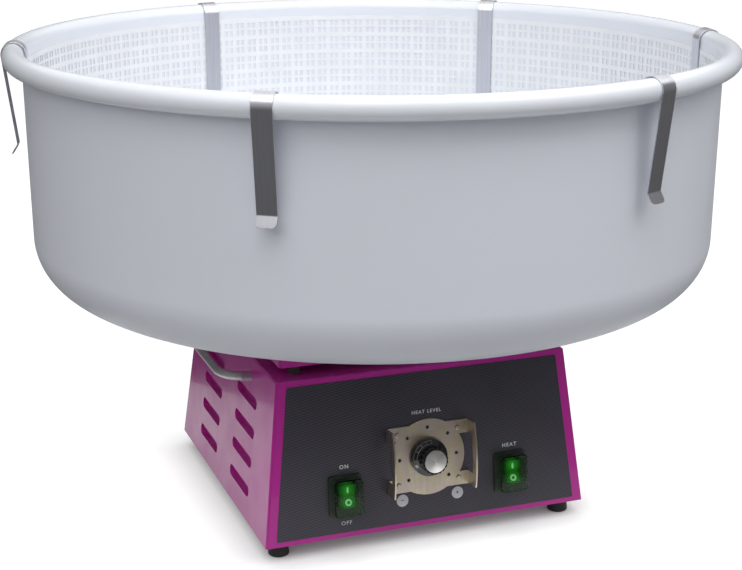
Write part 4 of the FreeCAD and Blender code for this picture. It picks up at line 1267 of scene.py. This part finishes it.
# ---------------------------------------------------------------- sub-assemblies
@dataclass
class CatchBowl:
    """The wide moulded bowl with its rolled rim."""

    workshop: Workshop
    rim_radius: float = 0.34996
    bead_radius: float = 0.010
    wall: float = 0.0022
    draft_deg: float = 0.5
    corner_radius: float = 0.053
    hole_radius: float = 0.080
    collar_height: float = 0.014
    collar_fillet: float = 0.005
    bead_end_deg: float = -125.0
    edge: float = 0.0006
    floor_slope: float = 0.2
    segments: int = 300
    corner_facets: int = 20
    bead_facets_inside: int = 30
    bead_facets_outside: int = 36
    fillet_facets: int = 6

    def __post_init__(self) -> None:
        """Takes the levels from the frame."""
        low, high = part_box("bowl")
        self.floor = low.z
        self.bead = (self.rim_radius - self.bead_radius, high.z - self.bead_radius)

    def wall_radius(self, level: float) -> float:
        """Inner radius of the wall at a level."""
        draw = (self.bead[1] - level) * math.tan(math.radians(self.draft_deg))
        return self.bead[0] - self.bead_radius - draw

    def outline(self) -> list[Point2]:
        """Draws the section of the bowl.

        Returns:
            The outside from the hole to the rim, and the inside back down.
        """
        inner_corner = self.corner_radius - self.wall
        corner_level = self.floor + self.corner_radius
        draft = math.radians(self.draft_deg)
        reach = (inner_corner + (self.bead[1] - corner_level) * math.sin(draft)) / math.cos(draft)
        corner = (self.bead[0] - self.bead_radius - reach, corner_level)
        floor_top = self.floor + self.wall
        collar = self.hole_radius + self.wall
        collar_top = floor_top + self.collar_height
        fillet = (collar + self.collar_fillet, floor_top + self.collar_fillet)
        hollow = self.bead_radius - self.wall
        outside = [(self.hole_radius, self.floor)]
        outside += arc(corner, self.corner_radius, -90.0, -self.draft_deg, self.corner_facets)
        outside += arc(self.bead, hollow, 180.0, self.bead_end_deg, self.bead_facets_inside)
        inside = arc(self.bead, self.bead_radius, self.bead_end_deg, 180.0, self.bead_facets_outside)
        inside += arc(corner, inner_corner, -self.draft_deg, -90.0, self.corner_facets)
        inside += arc(fillet, self.collar_fillet, 270.0, 180.0, self.fillet_facets)
        inside += [(collar, collar_top), (self.hole_radius, collar_top)]
        return outside + inside

    def is_glossy_and_painted_lighter(self, face: bpy.types.MeshPolygon) -> bool:
        """Finds whether a face lies on the glossy side: the rolled rim, and all that looks inwards or up.
        That side is also paler than the outer wall, as painted light.

        Args:
            face: the face.

        Returns:
            Whether it is glossy.
        """
        on_rim = face.center.z > self.bead[1] - self.bead_radius
        inwards = face.center.x * face.normal.x + face.center.y * face.normal.y < 0.0
        return on_rim or inwards or face.normal.z > self.floor_slope

    def build(self) -> None:
        """Turns the bowl and puts it in the place of the plain one."""
        shell = lathe("catch_bowl_shell", self.outline(), self.segments, self.edge)
        self.workshop.add(shell, "catch_bowl", "bowl_plastic", "bowl_plastic", "bowl")
        # the rim and the faces that look inwards or up take the paler copy: painted light
        shell.data.materials.append(self.workshop.material("bowl_gloss_painted_light"))
        for face in shell.data.polygons:
            face.material_index = int(self.is_glossy_and_painted_lighter(face))


@dataclass
class NetLiner:
    """The band of open plastic net that lines the wall of the bowl."""

    workshop: Workshop
    bowl: CatchBowl
    clip_azimuths: tuple[float, ...]
    cord: float = 0.0024
    heavy_cord: float = 0.0046
    hem: float = 0.0050
    columns: int = 292
    rows: int = 15
    thickness: float = 0.0004
    wall_gap: float = 0.0003
    slack: float = 0.0004
    held_beside_clip: float = 0.045
    waves_round: float = 3.0
    waves_up: float = 34.0

    def widths(self, count: int) -> list[float]:
        """Widths of the cords one way, each second one heavy."""
        return [self.heavy_cord if i % 2 == 0 else self.cord for i in range(count)]

    def slackness(self, angle: float, level: float) -> float:
        """Finds how far the net hangs off the wall, nothing where a clip holds it.

        Args:
            angle: way round the bowl, in radians.
            level: height.

        Returns:
            The distance from the wall.
        """
        bearing = math.degrees(angle)
        turns = (abs((bearing - clip + 180.0) % 360.0 - 180.0) for clip in self.clip_azimuths)
        free = min(math.radians(min(turns)) * self.bowl.bead[0] / self.held_beside_clip, 1.0)
        eased = free * free * (3.0 - 2.0 * free)
        round_x, round_y = math.cos(angle) * self.waves_round, math.sin(angle) * self.waves_round
        wave = 0.5 + 0.5 * noise.noise(Vector((round_x, round_y, level * self.waves_up)))
        return self.slack * eased * wave

    def levels(self) -> list[float]:
        """Lists the edges of the cords that run round, from the lower hem to the upper one.

        Returns:
            The heights, two for each cord.
        """
        low, high = (corner.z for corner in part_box("net_liner"))
        widths = self.widths(self.rows)
        widths[0] = widths[-1] = self.hem
        pitch = (high - low - self.hem) / (self.rows - 1)
        centres = [low + self.hem / 2 + pitch * i for i in range(self.rows)]
        return [centre + half for centre, width in zip(centres, widths) for half in (-width / 2, width / 2)]

    def angles(self) -> list[float]:
        """Lists the edges of the upright cords.

        Returns:
            The angles, two for each cord.
        """
        step = math.tau / self.columns
        halves = [w / 2 / self.bowl.bead[0] for w in self.widths(self.columns)]
        return [edge for i, half in enumerate(halves) for edge in (step * i - half, step * i + half)]

    def weave(self) -> bmesh.types.BMesh:
        """Makes the flat faces of all cords, which leave the openings between them free.

        Returns:
            The net, with no thickness yet.
        """
        shape = bmesh.new()
        levels = self.levels()
        grid = []
        for angle in self.angles():
            radii = [self.bowl.wall_radius(z) - self.wall_gap - self.slackness(angle, z) for z in levels]
            grid.append([shape.verts.new((radius * math.cos(angle), radius * math.sin(angle), z))
                         for radius, z in zip(radii, levels)])
        for i, first in enumerate(grid):
            second = grid[(i + 1) % len(grid)]
            for j in range(len(levels) - 1):
                if i % 2 == 0 or j % 2 == 0:      # an even step crosses a cord, an odd one an opening
                    shape.faces.new((first[j], second[j], second[j + 1], first[j + 1]))
        return shape

    def build(self) -> None:
        """Weaves the net and puts it in the place of the plain band."""
        shape = self.weave()
        cords = sum(face.calc_area() for face in shape.faces)
        net = new_piece("net_band", closed_mesh(shape, "net_band"))
        thick = net.modifiers.new("Cord thickness", "SOLIDIFY")
        thick.thickness = self.thickness
        thick.offset = 0.0
        self.workshop.add(net, "catch_bowl", "net_cord", "net_mesh", "net_liner")
        low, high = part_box("net_liner")
        cut = (high.z - low.z, math.tau * self.bowl.wall_radius((high.z + low.z) / 2))


@dataclass
class NetClips:
    """The spring clips that hold the net on the rim."""

    workshop: Workshop
    count: int
    edge: float = 0.0002

    def build(self) -> None:
        """Dresses the clips."""
        self.workshop.soften("clip_steel", self.edge, *(f"net_clip_{i + 1}" for i in range(self.count)))


@dataclass
class Housing:
    """The tapered sheet-steel housing with its base, handles and feet."""

    workshop: Workshop
    sheet_edge: float = 0.0004
    rod_edge: float = 0.0005
    foot_edge: float = 0.0006
    moulding_edge: float = 0.0003

    def build(self) -> None:
        """Dresses the sheets, the handles and what they stand on."""
        shop = self.workshop
        shop.soften("magenta_powder_coat", self.sheet_edge, "housing_wrap", "side_panel_left",
                    "side_panel_right", "rear_cover", "base_plate")
        shop.soften("satin_rod", self.rod_edge, "handle_left", "handle_right")
        shop.soften("foot_rubber", self.foot_edge, *four_corners("foot"))
        shop.keep("zinc", "housing_screws", "foot_screws", "handle_nuts")
        shop.soften("black_moulding", self.moulding_edge, "cable_gland", "gland_nut")
        shop.soften("block_plastic", self.moulding_edge, "terminal_block")


@dataclass(frozen=True)
class Label:
    """A printed word or sign: its middle on the panel and the height of its capitals."""

    name: str
    text: str
    across: float
    up: float
    height: float


@dataclass
class ControlPanel:
    """The printed film on the front, with its marks."""

    workshop: Workshop
    plane: PanelPlane
    film: float = 0.0006
    film_edge: float = 0.00015
    ink: float = 0.00006
    letter_spacing: float = 1.25
    disc_radius: float = 0.0059
    disc_segments: int = 48
    words: tuple[Label, ...] = (
        Label("label_heat", "HEAT LEVEL", 0.0, 0.111, 0.0033),
        Label("label_switch_on", "ON", -0.084, 0.0683, 0.0038),
        Label("label_switch_off", "OFF", -0.0835, 0.0138, 0.0038),
        Label("label_heater_switch", "HEAT", 0.0847, 0.067, 0.0038),
    )
    signs: tuple[Label, ...] = (
        Label("disc_less", "−", -0.027, 0.0271, 0.0042),
        Label("disc_more", "+", 0.0293, 0.0271, 0.0042),
    )

    def print_word(self, label: Label) -> None:
        """Prints a word on the film.

        Args:
            label: the word.
        """
        place = self.plane.matrix(label.across, label.up, self.film)
        word = lettering(label.name, label.text, label.height, self.ink, place, self.letter_spacing)
        self.workshop.add(word, "machine", "white_ink", "panel_film")

    def print_disc(self, label: Label) -> None:
        """Prints a white disc with a dark sign on it.

        Args:
            label: the sign.
        """
        section = tube_section(0.0, self.disc_radius, 0.0, self.ink)
        place = self.plane.matrix(label.across, label.up, self.film)
        spot = lathe(label.name, section, self.disc_segments, 0.0, place)
        self.workshop.add(spot, "machine", "white_ink", "panel_film")
        on_top = self.plane.matrix(label.across, label.up, self.film + self.ink)
        mark = lettering(f"{label.name}_sign", label.text, label.height, self.ink, on_top)
        self.workshop.add(mark, "machine", "grey_ink", "panel_film")

    def build(self) -> None:
        """Dresses the film and prints its marks."""
        self.workshop.soften("panel_film", self.film_edge, "front_overlay")
        for label in self.words:
            self.print_word(label)
        for label in self.signs:
            self.print_disc(label)


@dataclass
class HeatKnob:
    """The knob, its turned disc, its printed scale, and the steel guard round it."""

    workshop: Workshop
    plane: PanelPlane
    height: float
    skirt_radius: float = 0.018
    body_radius: float = 0.0128
    skirt_top: float = 0.0063
    flare: float = 0.0042
    knob_edge: float = 0.00025
    guard_edge: float = 0.0002
    regulator_edge: float = 0.0003
    disc_radius: float = 0.0109
    disc_thickness: float = 0.001
    disc_chamfer: float = 0.0004
    disc_edge: float = 0.00015
    disc_segments: int = 96
    front: float = 0.0214
    print_rise: float = 0.00008
    print_step_deg: float = 4.0
    scale_ends_deg: Point2 = (-130.0, 5.0)
    outer_line: Point2 = (0.0168, 0.0171)
    inner_line: Point2 = (0.0142, 0.0145)
    ticks_deg: tuple[float, ...] = (-95.0, -60.0, -35.0, -15.0, 5.0)
    tick_half_deg: float = 0.8
    start_radii: Point2 = (0.0147, 0.0167)
    start_ends_deg: Point2 = (-119.0, -108.0)

    def cone_point(self, radius: float, clock_deg: float) -> Vector:
        """Finds a point on the skirt's cone.

        Args:
            radius: its distance from the knob's axis.
            clock_deg: its angle from 12 o'clock.

        Returns:
            The point.
        """
        share = (self.skirt_radius - radius) / (self.skirt_radius - self.body_radius)
        angle = math.radians(90.0 - clock_deg)
        here = self.plane.matrix(0.0, self.height, self.skirt_top + share * self.flare)
        return here @ Vector((radius * math.cos(angle), radius * math.sin(angle), 0.0))

    def ring_print(self, name: str, radii: Point2, ends_deg: Point2) -> Piece:
        """Prints a ring segment on the cone.

        Args:
            name: the piece's name.
            radii: its inner and outer radius.
            ends_deg: its first and last clock angle.

        Returns:
            The new piece.
        """
        start, end = ends_deg
        count = max(int(abs(end - start) / self.print_step_deg), 2)
        turns = [start + (end - start) * i / count for i in range(count + 1)]
        rails = [(self.cone_point(radii[0], t), self.cone_point(radii[1], t)) for t in turns]
        return strip(name, rails, self.plane.out * self.print_rise)

    def scale(self) -> None:
        """Prints the scale: two thin arcs, ticks between them and a bold start mark."""
        between = (self.inner_line[1], self.outer_line[0])
        prints = [self.ring_print("arc_out", self.outer_line, self.scale_ends_deg),
                  self.ring_print("arc_in", self.inner_line, self.scale_ends_deg)]
        for tick in self.ticks_deg:
            ends = (tick - self.tick_half_deg, tick + self.tick_half_deg)
            prints.append(self.ring_print("tick", between, ends))
        self.workshop.add(joined("knob_scale", prints), "knob", "pale_print", "knob_plastic")
        start = self.ring_print("knob_start_mark", self.start_radii, self.start_ends_deg)
        self.workshop.add(start, "knob", "white_ink", "knob_plastic")

    def disc(self) -> None:
        """Turns the metal disc on the front of the knob."""
        shoulder = self.disc_thickness - self.disc_chamfer
        outline = [(0.0, 0.0), (self.disc_radius, 0.0), (self.disc_radius, shoulder),
                   (self.disc_radius - self.disc_chamfer, self.disc_thickness), (0.0, self.disc_thickness)]
        place = self.plane.matrix(0.0, self.height, self.front - self.disc_thickness)
        cap = lathe("knob_disc_turned", outline, self.disc_segments, self.disc_edge, place)
        self.workshop.add(cap, "knob", "turned_aluminium", "knob_disc", "knob_cap")

    def build(self) -> None:
        """Dresses the guard, the knob and what turns with it."""
        shop = self.workshop
        shop.soften("guard_steel", self.guard_edge, "knob_guard")
        shop.keep("screw_steel", "knob_guard_screws")
        shop.soften("knob_gloss_black", self.knob_edge, "control_knob")
        self.disc()
        self.scale()
        shop.soften("regulator_case", self.regulator_edge, "power_regulator")
        shop.keep("bearing_steel", "regulator_spindle")


@dataclass
class RockerSwitches:
    """The two lit rocker switches under their clear caps."""

    workshop: Workshop
    plane: PanelPlane
    offset: float = 0.084
    height: float = 0.041
    pivot_depth: float = 0.001
    tilt_deg: float = 8.0
    ridge: float = 0.0082
    slope_deg: float = 9.0
    edge: float = 0.0005
    mark_offset: float = 0.0058
    mark_rise: float = 0.00025
    mark_edge: float = 0.0001
    line_radius: float = 0.00085
    line_stretch: Point2 = (1.15, 3.7)
    line_segments: int = 20
    ring_radii: Point2 = (0.0017, 0.0032)
    ring_segments: int = 36

    def face(self, side: int, half: int) -> Matrix:
        """Finds one sloping face of a rocker.

        Args:
            side: -1 for the left switch and 1 for the right one.
            half: -1 for the lower face and 1 for the upper one.

        Returns:
            The frame of the middle of the face's mark.
        """
        pivot = self.plane.matrix(side * self.offset, self.height, -self.pivot_depth)
        tilt = Matrix.Rotation(math.radians(-self.tilt_deg), 4, "X")
        slope = math.radians(self.slope_deg)
        rise = self.pivot_depth + self.ridge + self.mark_offset * math.tan(slope)
        seat = Matrix.Translation((0.0, half * self.mark_offset, rise))
        return pivot @ tilt @ seat @ Matrix.Rotation(half * slope, 4, "X")

    def marks(self, body: str, side: int) -> None:
        """Puts the raised line and ring on a rocker.

        Args:
            body: the rocker's body.
            side: -1 for the left switch and 1 for the right one.
        """
        heights = (-self.mark_rise, self.mark_rise)
        line_section = tube_section(0.0, self.line_radius, *heights)
        line = lathe(f"{body}_line", line_section, self.line_segments, self.mark_edge)
        line.data.transform(self.face(side, 1) @ Matrix.Diagonal((*self.line_stretch, 1.0, 1.0)))
        ring_section = tube_section(*self.ring_radii, *heights)
        ring = lathe(f"{body}_ring", ring_section, self.ring_segments, self.mark_edge)
        ring.data.transform(self.face(side, -1))
        for mark in (line, ring):
            self.workshop.add(mark, body, "rocker_mark", "green_rocker")

    def lit_finishes(self) -> tuple[Finish, Finish]:
        """Mixes the plastics of the rockers and of their marks, with a lamp behind each face.

        Returns:
            The two finishes.
        """
        lamps = tuple(tuple(self.face(side, half).translation) for side in (-1, 1) for half in (-1, 1))
        # The rocker's dark edge colour, at full strength on every rounded edge, is painted shade that darkens
        # its rims where the glow falls off.
        rocker = LitPlastic("green_rocker", (0.004, 0.045, 0.004), 0.3, specular=0.2, grain_depth=1e-5,
                            wear_and_painted_light_colour=(0.002, 0.012, 0.002), wear_and_painted_light_amount=1.0,
                            glow_colour=(0.016, 0.25, 0.011), glow_reach=0.0105, lamps=lamps)
        mark = LitPlastic("rocker_mark", (0.5, 0.72, 0.55), 0.35, glow_colour=(0.16, 0.3, 0.19),
                          glow_reach=0.02, lamps=lamps)
        return rocker, mark

    def build(self) -> None:
        """Dresses both switches."""
        shop = self.workshop
        FINISHES.update({finish.name: finish for finish in self.lit_finishes()})
        for side, word in ((-1, "left"), (1, "right")):
            shop.soften("black_moulding", self.edge, f"switch_body_{word}")
            shop.soften("green_rocker", self.edge, f"rocker_{word}")
            shop.keep("clear_cap", f"switch_cap_{word}")
            self.marks(f"{word}_rocker", side)


@dataclass
class BowlSupport:
    """The damped pan under the bowl, and the motor that hangs in it."""

    workshop: Workshop
    sheet_edge: float = 0.0004
    can_edge: float = 0.0006
    casting_edge: float = 0.0005
    moulding_edge: float = 0.0003
    brush_edge: float = 0.0002

    def build(self) -> None:
        """Dresses the pan, the dampers and the motor."""
        shop = self.workshop
        shop.soften("magenta_powder_coat", self.sheet_edge, "support_pan")
        shop.keep("damper_rubber", *four_corners("damper"))
        shop.keep("zinc", "damper_studs", "motor_pillars")
        shop.soften("motor_enamel", self.can_edge, "motor_can")
        shop.soften("cast_aluminium", self.casting_edge, "motor_bell")
        shop.keep("bearing_steel", "bearings")
        shop.soften("black_moulding", self.moulding_edge, "brush_holder")
        shop.soften("carbon", self.brush_edge, "carbon_brushes")


@dataclass
class SpinnerHead:
    """Everything that spins: the shaft with its rings, and the head that melts the sugar."""

    workshop: Workshop
    casting_edge: float = 0.0004
    band_edge: float = 0.0001

    def build(self) -> None:
        """Dresses the spinning pieces."""
        shop = self.workshop
        shop.keep("bearing_steel", "motor_shaft")
        shop.keep("laminated_iron", "armature")
        shop.keep("black_moulding", "slip_ring_hub")
        shop.keep("ring_brass", "slip_rings")
        shop.soften("cast_aluminium", self.casting_edge, "head_base")
        shop.soften("band_steel", self.band_edge, "slotted_band")
        shop.keep("heater_ribbon", "heating_element")
        shop.keep("cast_aluminium", "head_cover")
        shop.keep("zinc", "head_screws", "head_nut")


# ---------------------------------------------------------------- studio
@dataclass(frozen=True)
class ViewPoint:
    """Where the camera stands and what it looks at."""

    azimuth_deg: float = -20.34
    elevation_deg: float = 16.58
    roll_deg: float = 0.09
    target: Point3 = (0.00162, -0.00059, 0.20566)
    distance: float = 1.5738
    lens_mm: float = 75.53
    sensor_mm: float = 36.0
    shift: Point2 = (-0.00415, 0.0036)

    def build(self) -> None:
        """Makes the camera."""
        turn = Matrix.Rotation(math.radians(self.azimuth_deg), 4, "Z")
        tip = Matrix.Rotation(math.radians(90.0 - self.elevation_deg), 4, "X")
        roll = Matrix.Rotation(math.radians(self.roll_deg), 4, "Z")
        lens = bpy.data.cameras.new("camera")
        lens.lens = self.lens_mm
        lens.sensor_width = self.sensor_mm
        lens.shift_x, lens.shift_y = self.shift
        camera = bpy.data.objects.new("camera", lens)
        bpy.context.scene.collection.objects.link(camera)
        back = Matrix.Translation((0.0, 0.0, self.distance))
        camera.matrix_world = Matrix.Translation(self.target) @ turn @ tip @ roll @ back
        bpy.context.scene.camera = camera


@dataclass(frozen=True)
class Lamp:
    """A soft rectangular lamp, which bright metal may or may not mirror."""

    name: str
    place: Point3
    width: float
    height: float
    power: float
    mirrored: bool = True
    aim: Point3 = (0.0, 0.0, 0.2)

    def build(self) -> None:
        """Hangs the lamp."""
        light = bpy.data.lights.new(self.name, "AREA")
        light.shape = "RECTANGLE"
        light.size, light.size_y = self.width, self.height
        light.energy = self.power
        lamp = bpy.data.objects.new(self.name, light)
        bpy.context.scene.collection.objects.link(lamp)
        lamp.location = self.place
        lamp.visible_glossy = self.mirrored
        lamp.rotation_euler = (Vector(self.aim) - Vector(self.place)).to_track_quat("-Z", "Y").to_euler()


@dataclass(frozen=True)
class StageFinish:
    """A plain matt finish for what stands round the object, which can glow by itself."""

    name: str
    tone: float
    roughness: float
    specular: float

    def build(self) -> tuple[Material, bpy.types.Node]:
        """Builds the material.

        Returns:
            The material and its shader.
        """
        material = bpy.data.materials.new(self.name)
        material.use_nodes = True
        shader = material.node_tree.nodes["Principled BSDF"]
        shader.inputs["Base Color"].default_value = (self.tone, self.tone, self.tone, 1.0)
        shader.inputs["Roughness"].default_value = self.roughness
        shader.inputs["Specular IOR Level"].default_value = self.specular
        shader.inputs["Emission Color"].default_value = WHITE
        return material, shader


@dataclass(frozen=True)
class Studio:
    """A pale floor, a white surround and soft lamps, most of the light from above."""

    floor_radius: float = 14.0
    floor_finish: StageFinish = StageFinish("floor_paper", 0.42, 0.9, 0.1)
    floor_glow: float = 0.91
    # reach and samples of the painted contact shadow in the floor's glow
    painted_shadow_reach: float = 0.045
    painted_shadow_samples: int = 8
    surround_light: float = 0.15
    card_finish: StageFinish = StageFinish("card_grey", 0.0, 1.0, 0.0)
    card_radius: float = 0.45
    card_height: float = 0.57
    painted_reflection_tone: float = 0.11
    segments: int = 96
    lamps: tuple[Lamp, ...] = (
        Lamp("overhead_lamp", (0.05, -0.72, 2.3), 2.2, 1.8, 26.5),
        Lamp("left_lamp", (-1.7, -1.5, 2.2), 2.6, 2.2, 32.0),
        Lamp("right_lamp", (1.9, -1.3, 2.2), 2.6, 2.2, 31.0),
        Lamp("rear_lamp", (0.0, 0.5, 2.4), 1.4, 1.2, 3.0, mirrored=False),
    )

    def seen_directly(self, graph: Graph) -> Socket:
        """Finds which rays see the studio by themselves.

        Args:
            graph: the tree to write into.

        Returns:
            1 for what the camera sees, also in gloss and through glass, and 0 for light.
        """
        path = graph.node("ShaderNodeLightPath")
        seen = graph.math("ADD", path.outputs["Is Camera Ray"], path.outputs["Is Glossy Ray"], clamp=True)
        return graph.math("ADD", seen, path.outputs["Is Transmission Ray"], clamp=True)

    def surround(self) -> None:
        """Makes the world white to the eye, and a soft light for the object."""
        world = bpy.data.worlds.new("surround")
        bpy.context.scene.world = world
        world.use_nodes = True
        graph = Graph(world.node_tree)
        shade = world.node_tree.nodes["Background"]
        shade.inputs["Color"].default_value = WHITE
        strength = graph.remap(self.seen_directly(graph), 0.0, 1.0, self.surround_light, 1.0)
        graph.feed(shade.inputs["Strength"], strength)

    def stand(self, name: str, shape: bmesh.types.BMesh, material: Material) -> Piece:
        """Stands a piece of the studio round the object.

        Args:
            name: the piece's name.
            shape: its shape, which is freed.
            material: its material.

        Returns:
            The new piece.
        """
        piece = new_piece(name, plain_mesh(shape, name))
        piece.data.materials.append(material)
        return piece

    def floor(self) -> None:
        """Lays the floor, which keeps the object's shadow from the lamps, and whose glow is darkened near the
        object by a painted contact shadow.
        """
        shape = bmesh.new()
        bmesh.ops.create_circle(shape, cap_ends=True, segments=self.segments, radius=self.floor_radius)
        material, paper = self.floor_finish.build()
        graph = Graph(material.node_tree)
        # painted shadow: ambient occlusion darkens the floor's glow under and round the machine
        painted_contact_shadow = graph.node("ShaderNodeAmbientOcclusion", samples=self.painted_shadow_samples)
        painted_contact_shadow.inputs["Distance"].default_value = self.painted_shadow_reach
        glow_with_painted_shadow = graph.math("MULTIPLY", painted_contact_shadow.outputs["AO"], self.floor_glow)
        glow = graph.math("MULTIPLY", self.seen_directly(graph), glow_with_painted_shadow)
        graph.feed(paper.inputs["Emission Strength"], glow)
        self.stand("studio_floor", shape, material)

    def grey_card(self) -> None:
        """Stands a grey card round the object, which only gloss and glass rays see: a painted dark
        reflection, standing in for a studio flag.
        """
        shape = bmesh.new()
        bmesh.ops.create_circle(shape, cap_ends=False, segments=self.segments, radius=self.card_radius)
        raised = bmesh.ops.extrude_edge_only(shape, edges=shape.edges)["geom"]
        upper = [item for item in raised if isinstance(item, bmesh.types.BMVert)]
        bmesh.ops.translate(shape, verts=upper, vec=(0.0, 0.0, self.card_height))
        material, paint = self.card_finish.build()
        # painted reflection: the card's faint glow shows only in gloss and through glass
        paint.inputs["Emission Strength"].default_value = self.painted_reflection_tone
        card = self.stand("studio_card", shape, material)
        card.visible_camera = card.visible_diffuse = card.visible_shadow = False

    def build(self) -> None:
        """Sets up the surround, the floor, the card and the lamps."""
        self.surround()
        self.floor()
        self.grey_card()
        for lamp in self.lamps:
            lamp.build()
        bpy.context.scene.view_settings.view_transform = "Standard"


# ---------------------------------------------------------------- the whole machine
KNOB_HEIGHT = 0.0672                  # how far up the panel the knob sits
CLIP_AZIMUTHS = (167.6, -124.2, -67.0, -10.7, 46.5, 103.5)   # of the clips round the rim, in degrees


def main() -> None:
    """Builds the studio and every sub-assembly in order."""
    logging.basicConfig(level=logging.INFO, format="%(name)s: %(message)s")
    shop = Workshop()
    panel = control_panel_plane(KNOB_HEIGHT)
    bowl = CatchBowl(shop)
    parts = (ViewPoint(), Studio(), bowl, NetLiner(shop, bowl, CLIP_AZIMUTHS),
             NetClips(shop, len(CLIP_AZIMUTHS)), Housing(shop), ControlPanel(shop, panel),
             HeatKnob(shop, panel, KNOB_HEIGHT), RockerSwitches(shop, panel), BowlSupport(shop),
             SpinnerHead(shop))
    for part in parts:
        log.info("building %s", type(part).__name__)
        part.build()
    if shop.undressed():
        raise RuntimeError(f"these nodes have no finish: {shop.undressed()}")


if __name__ == "__main__":
    main()
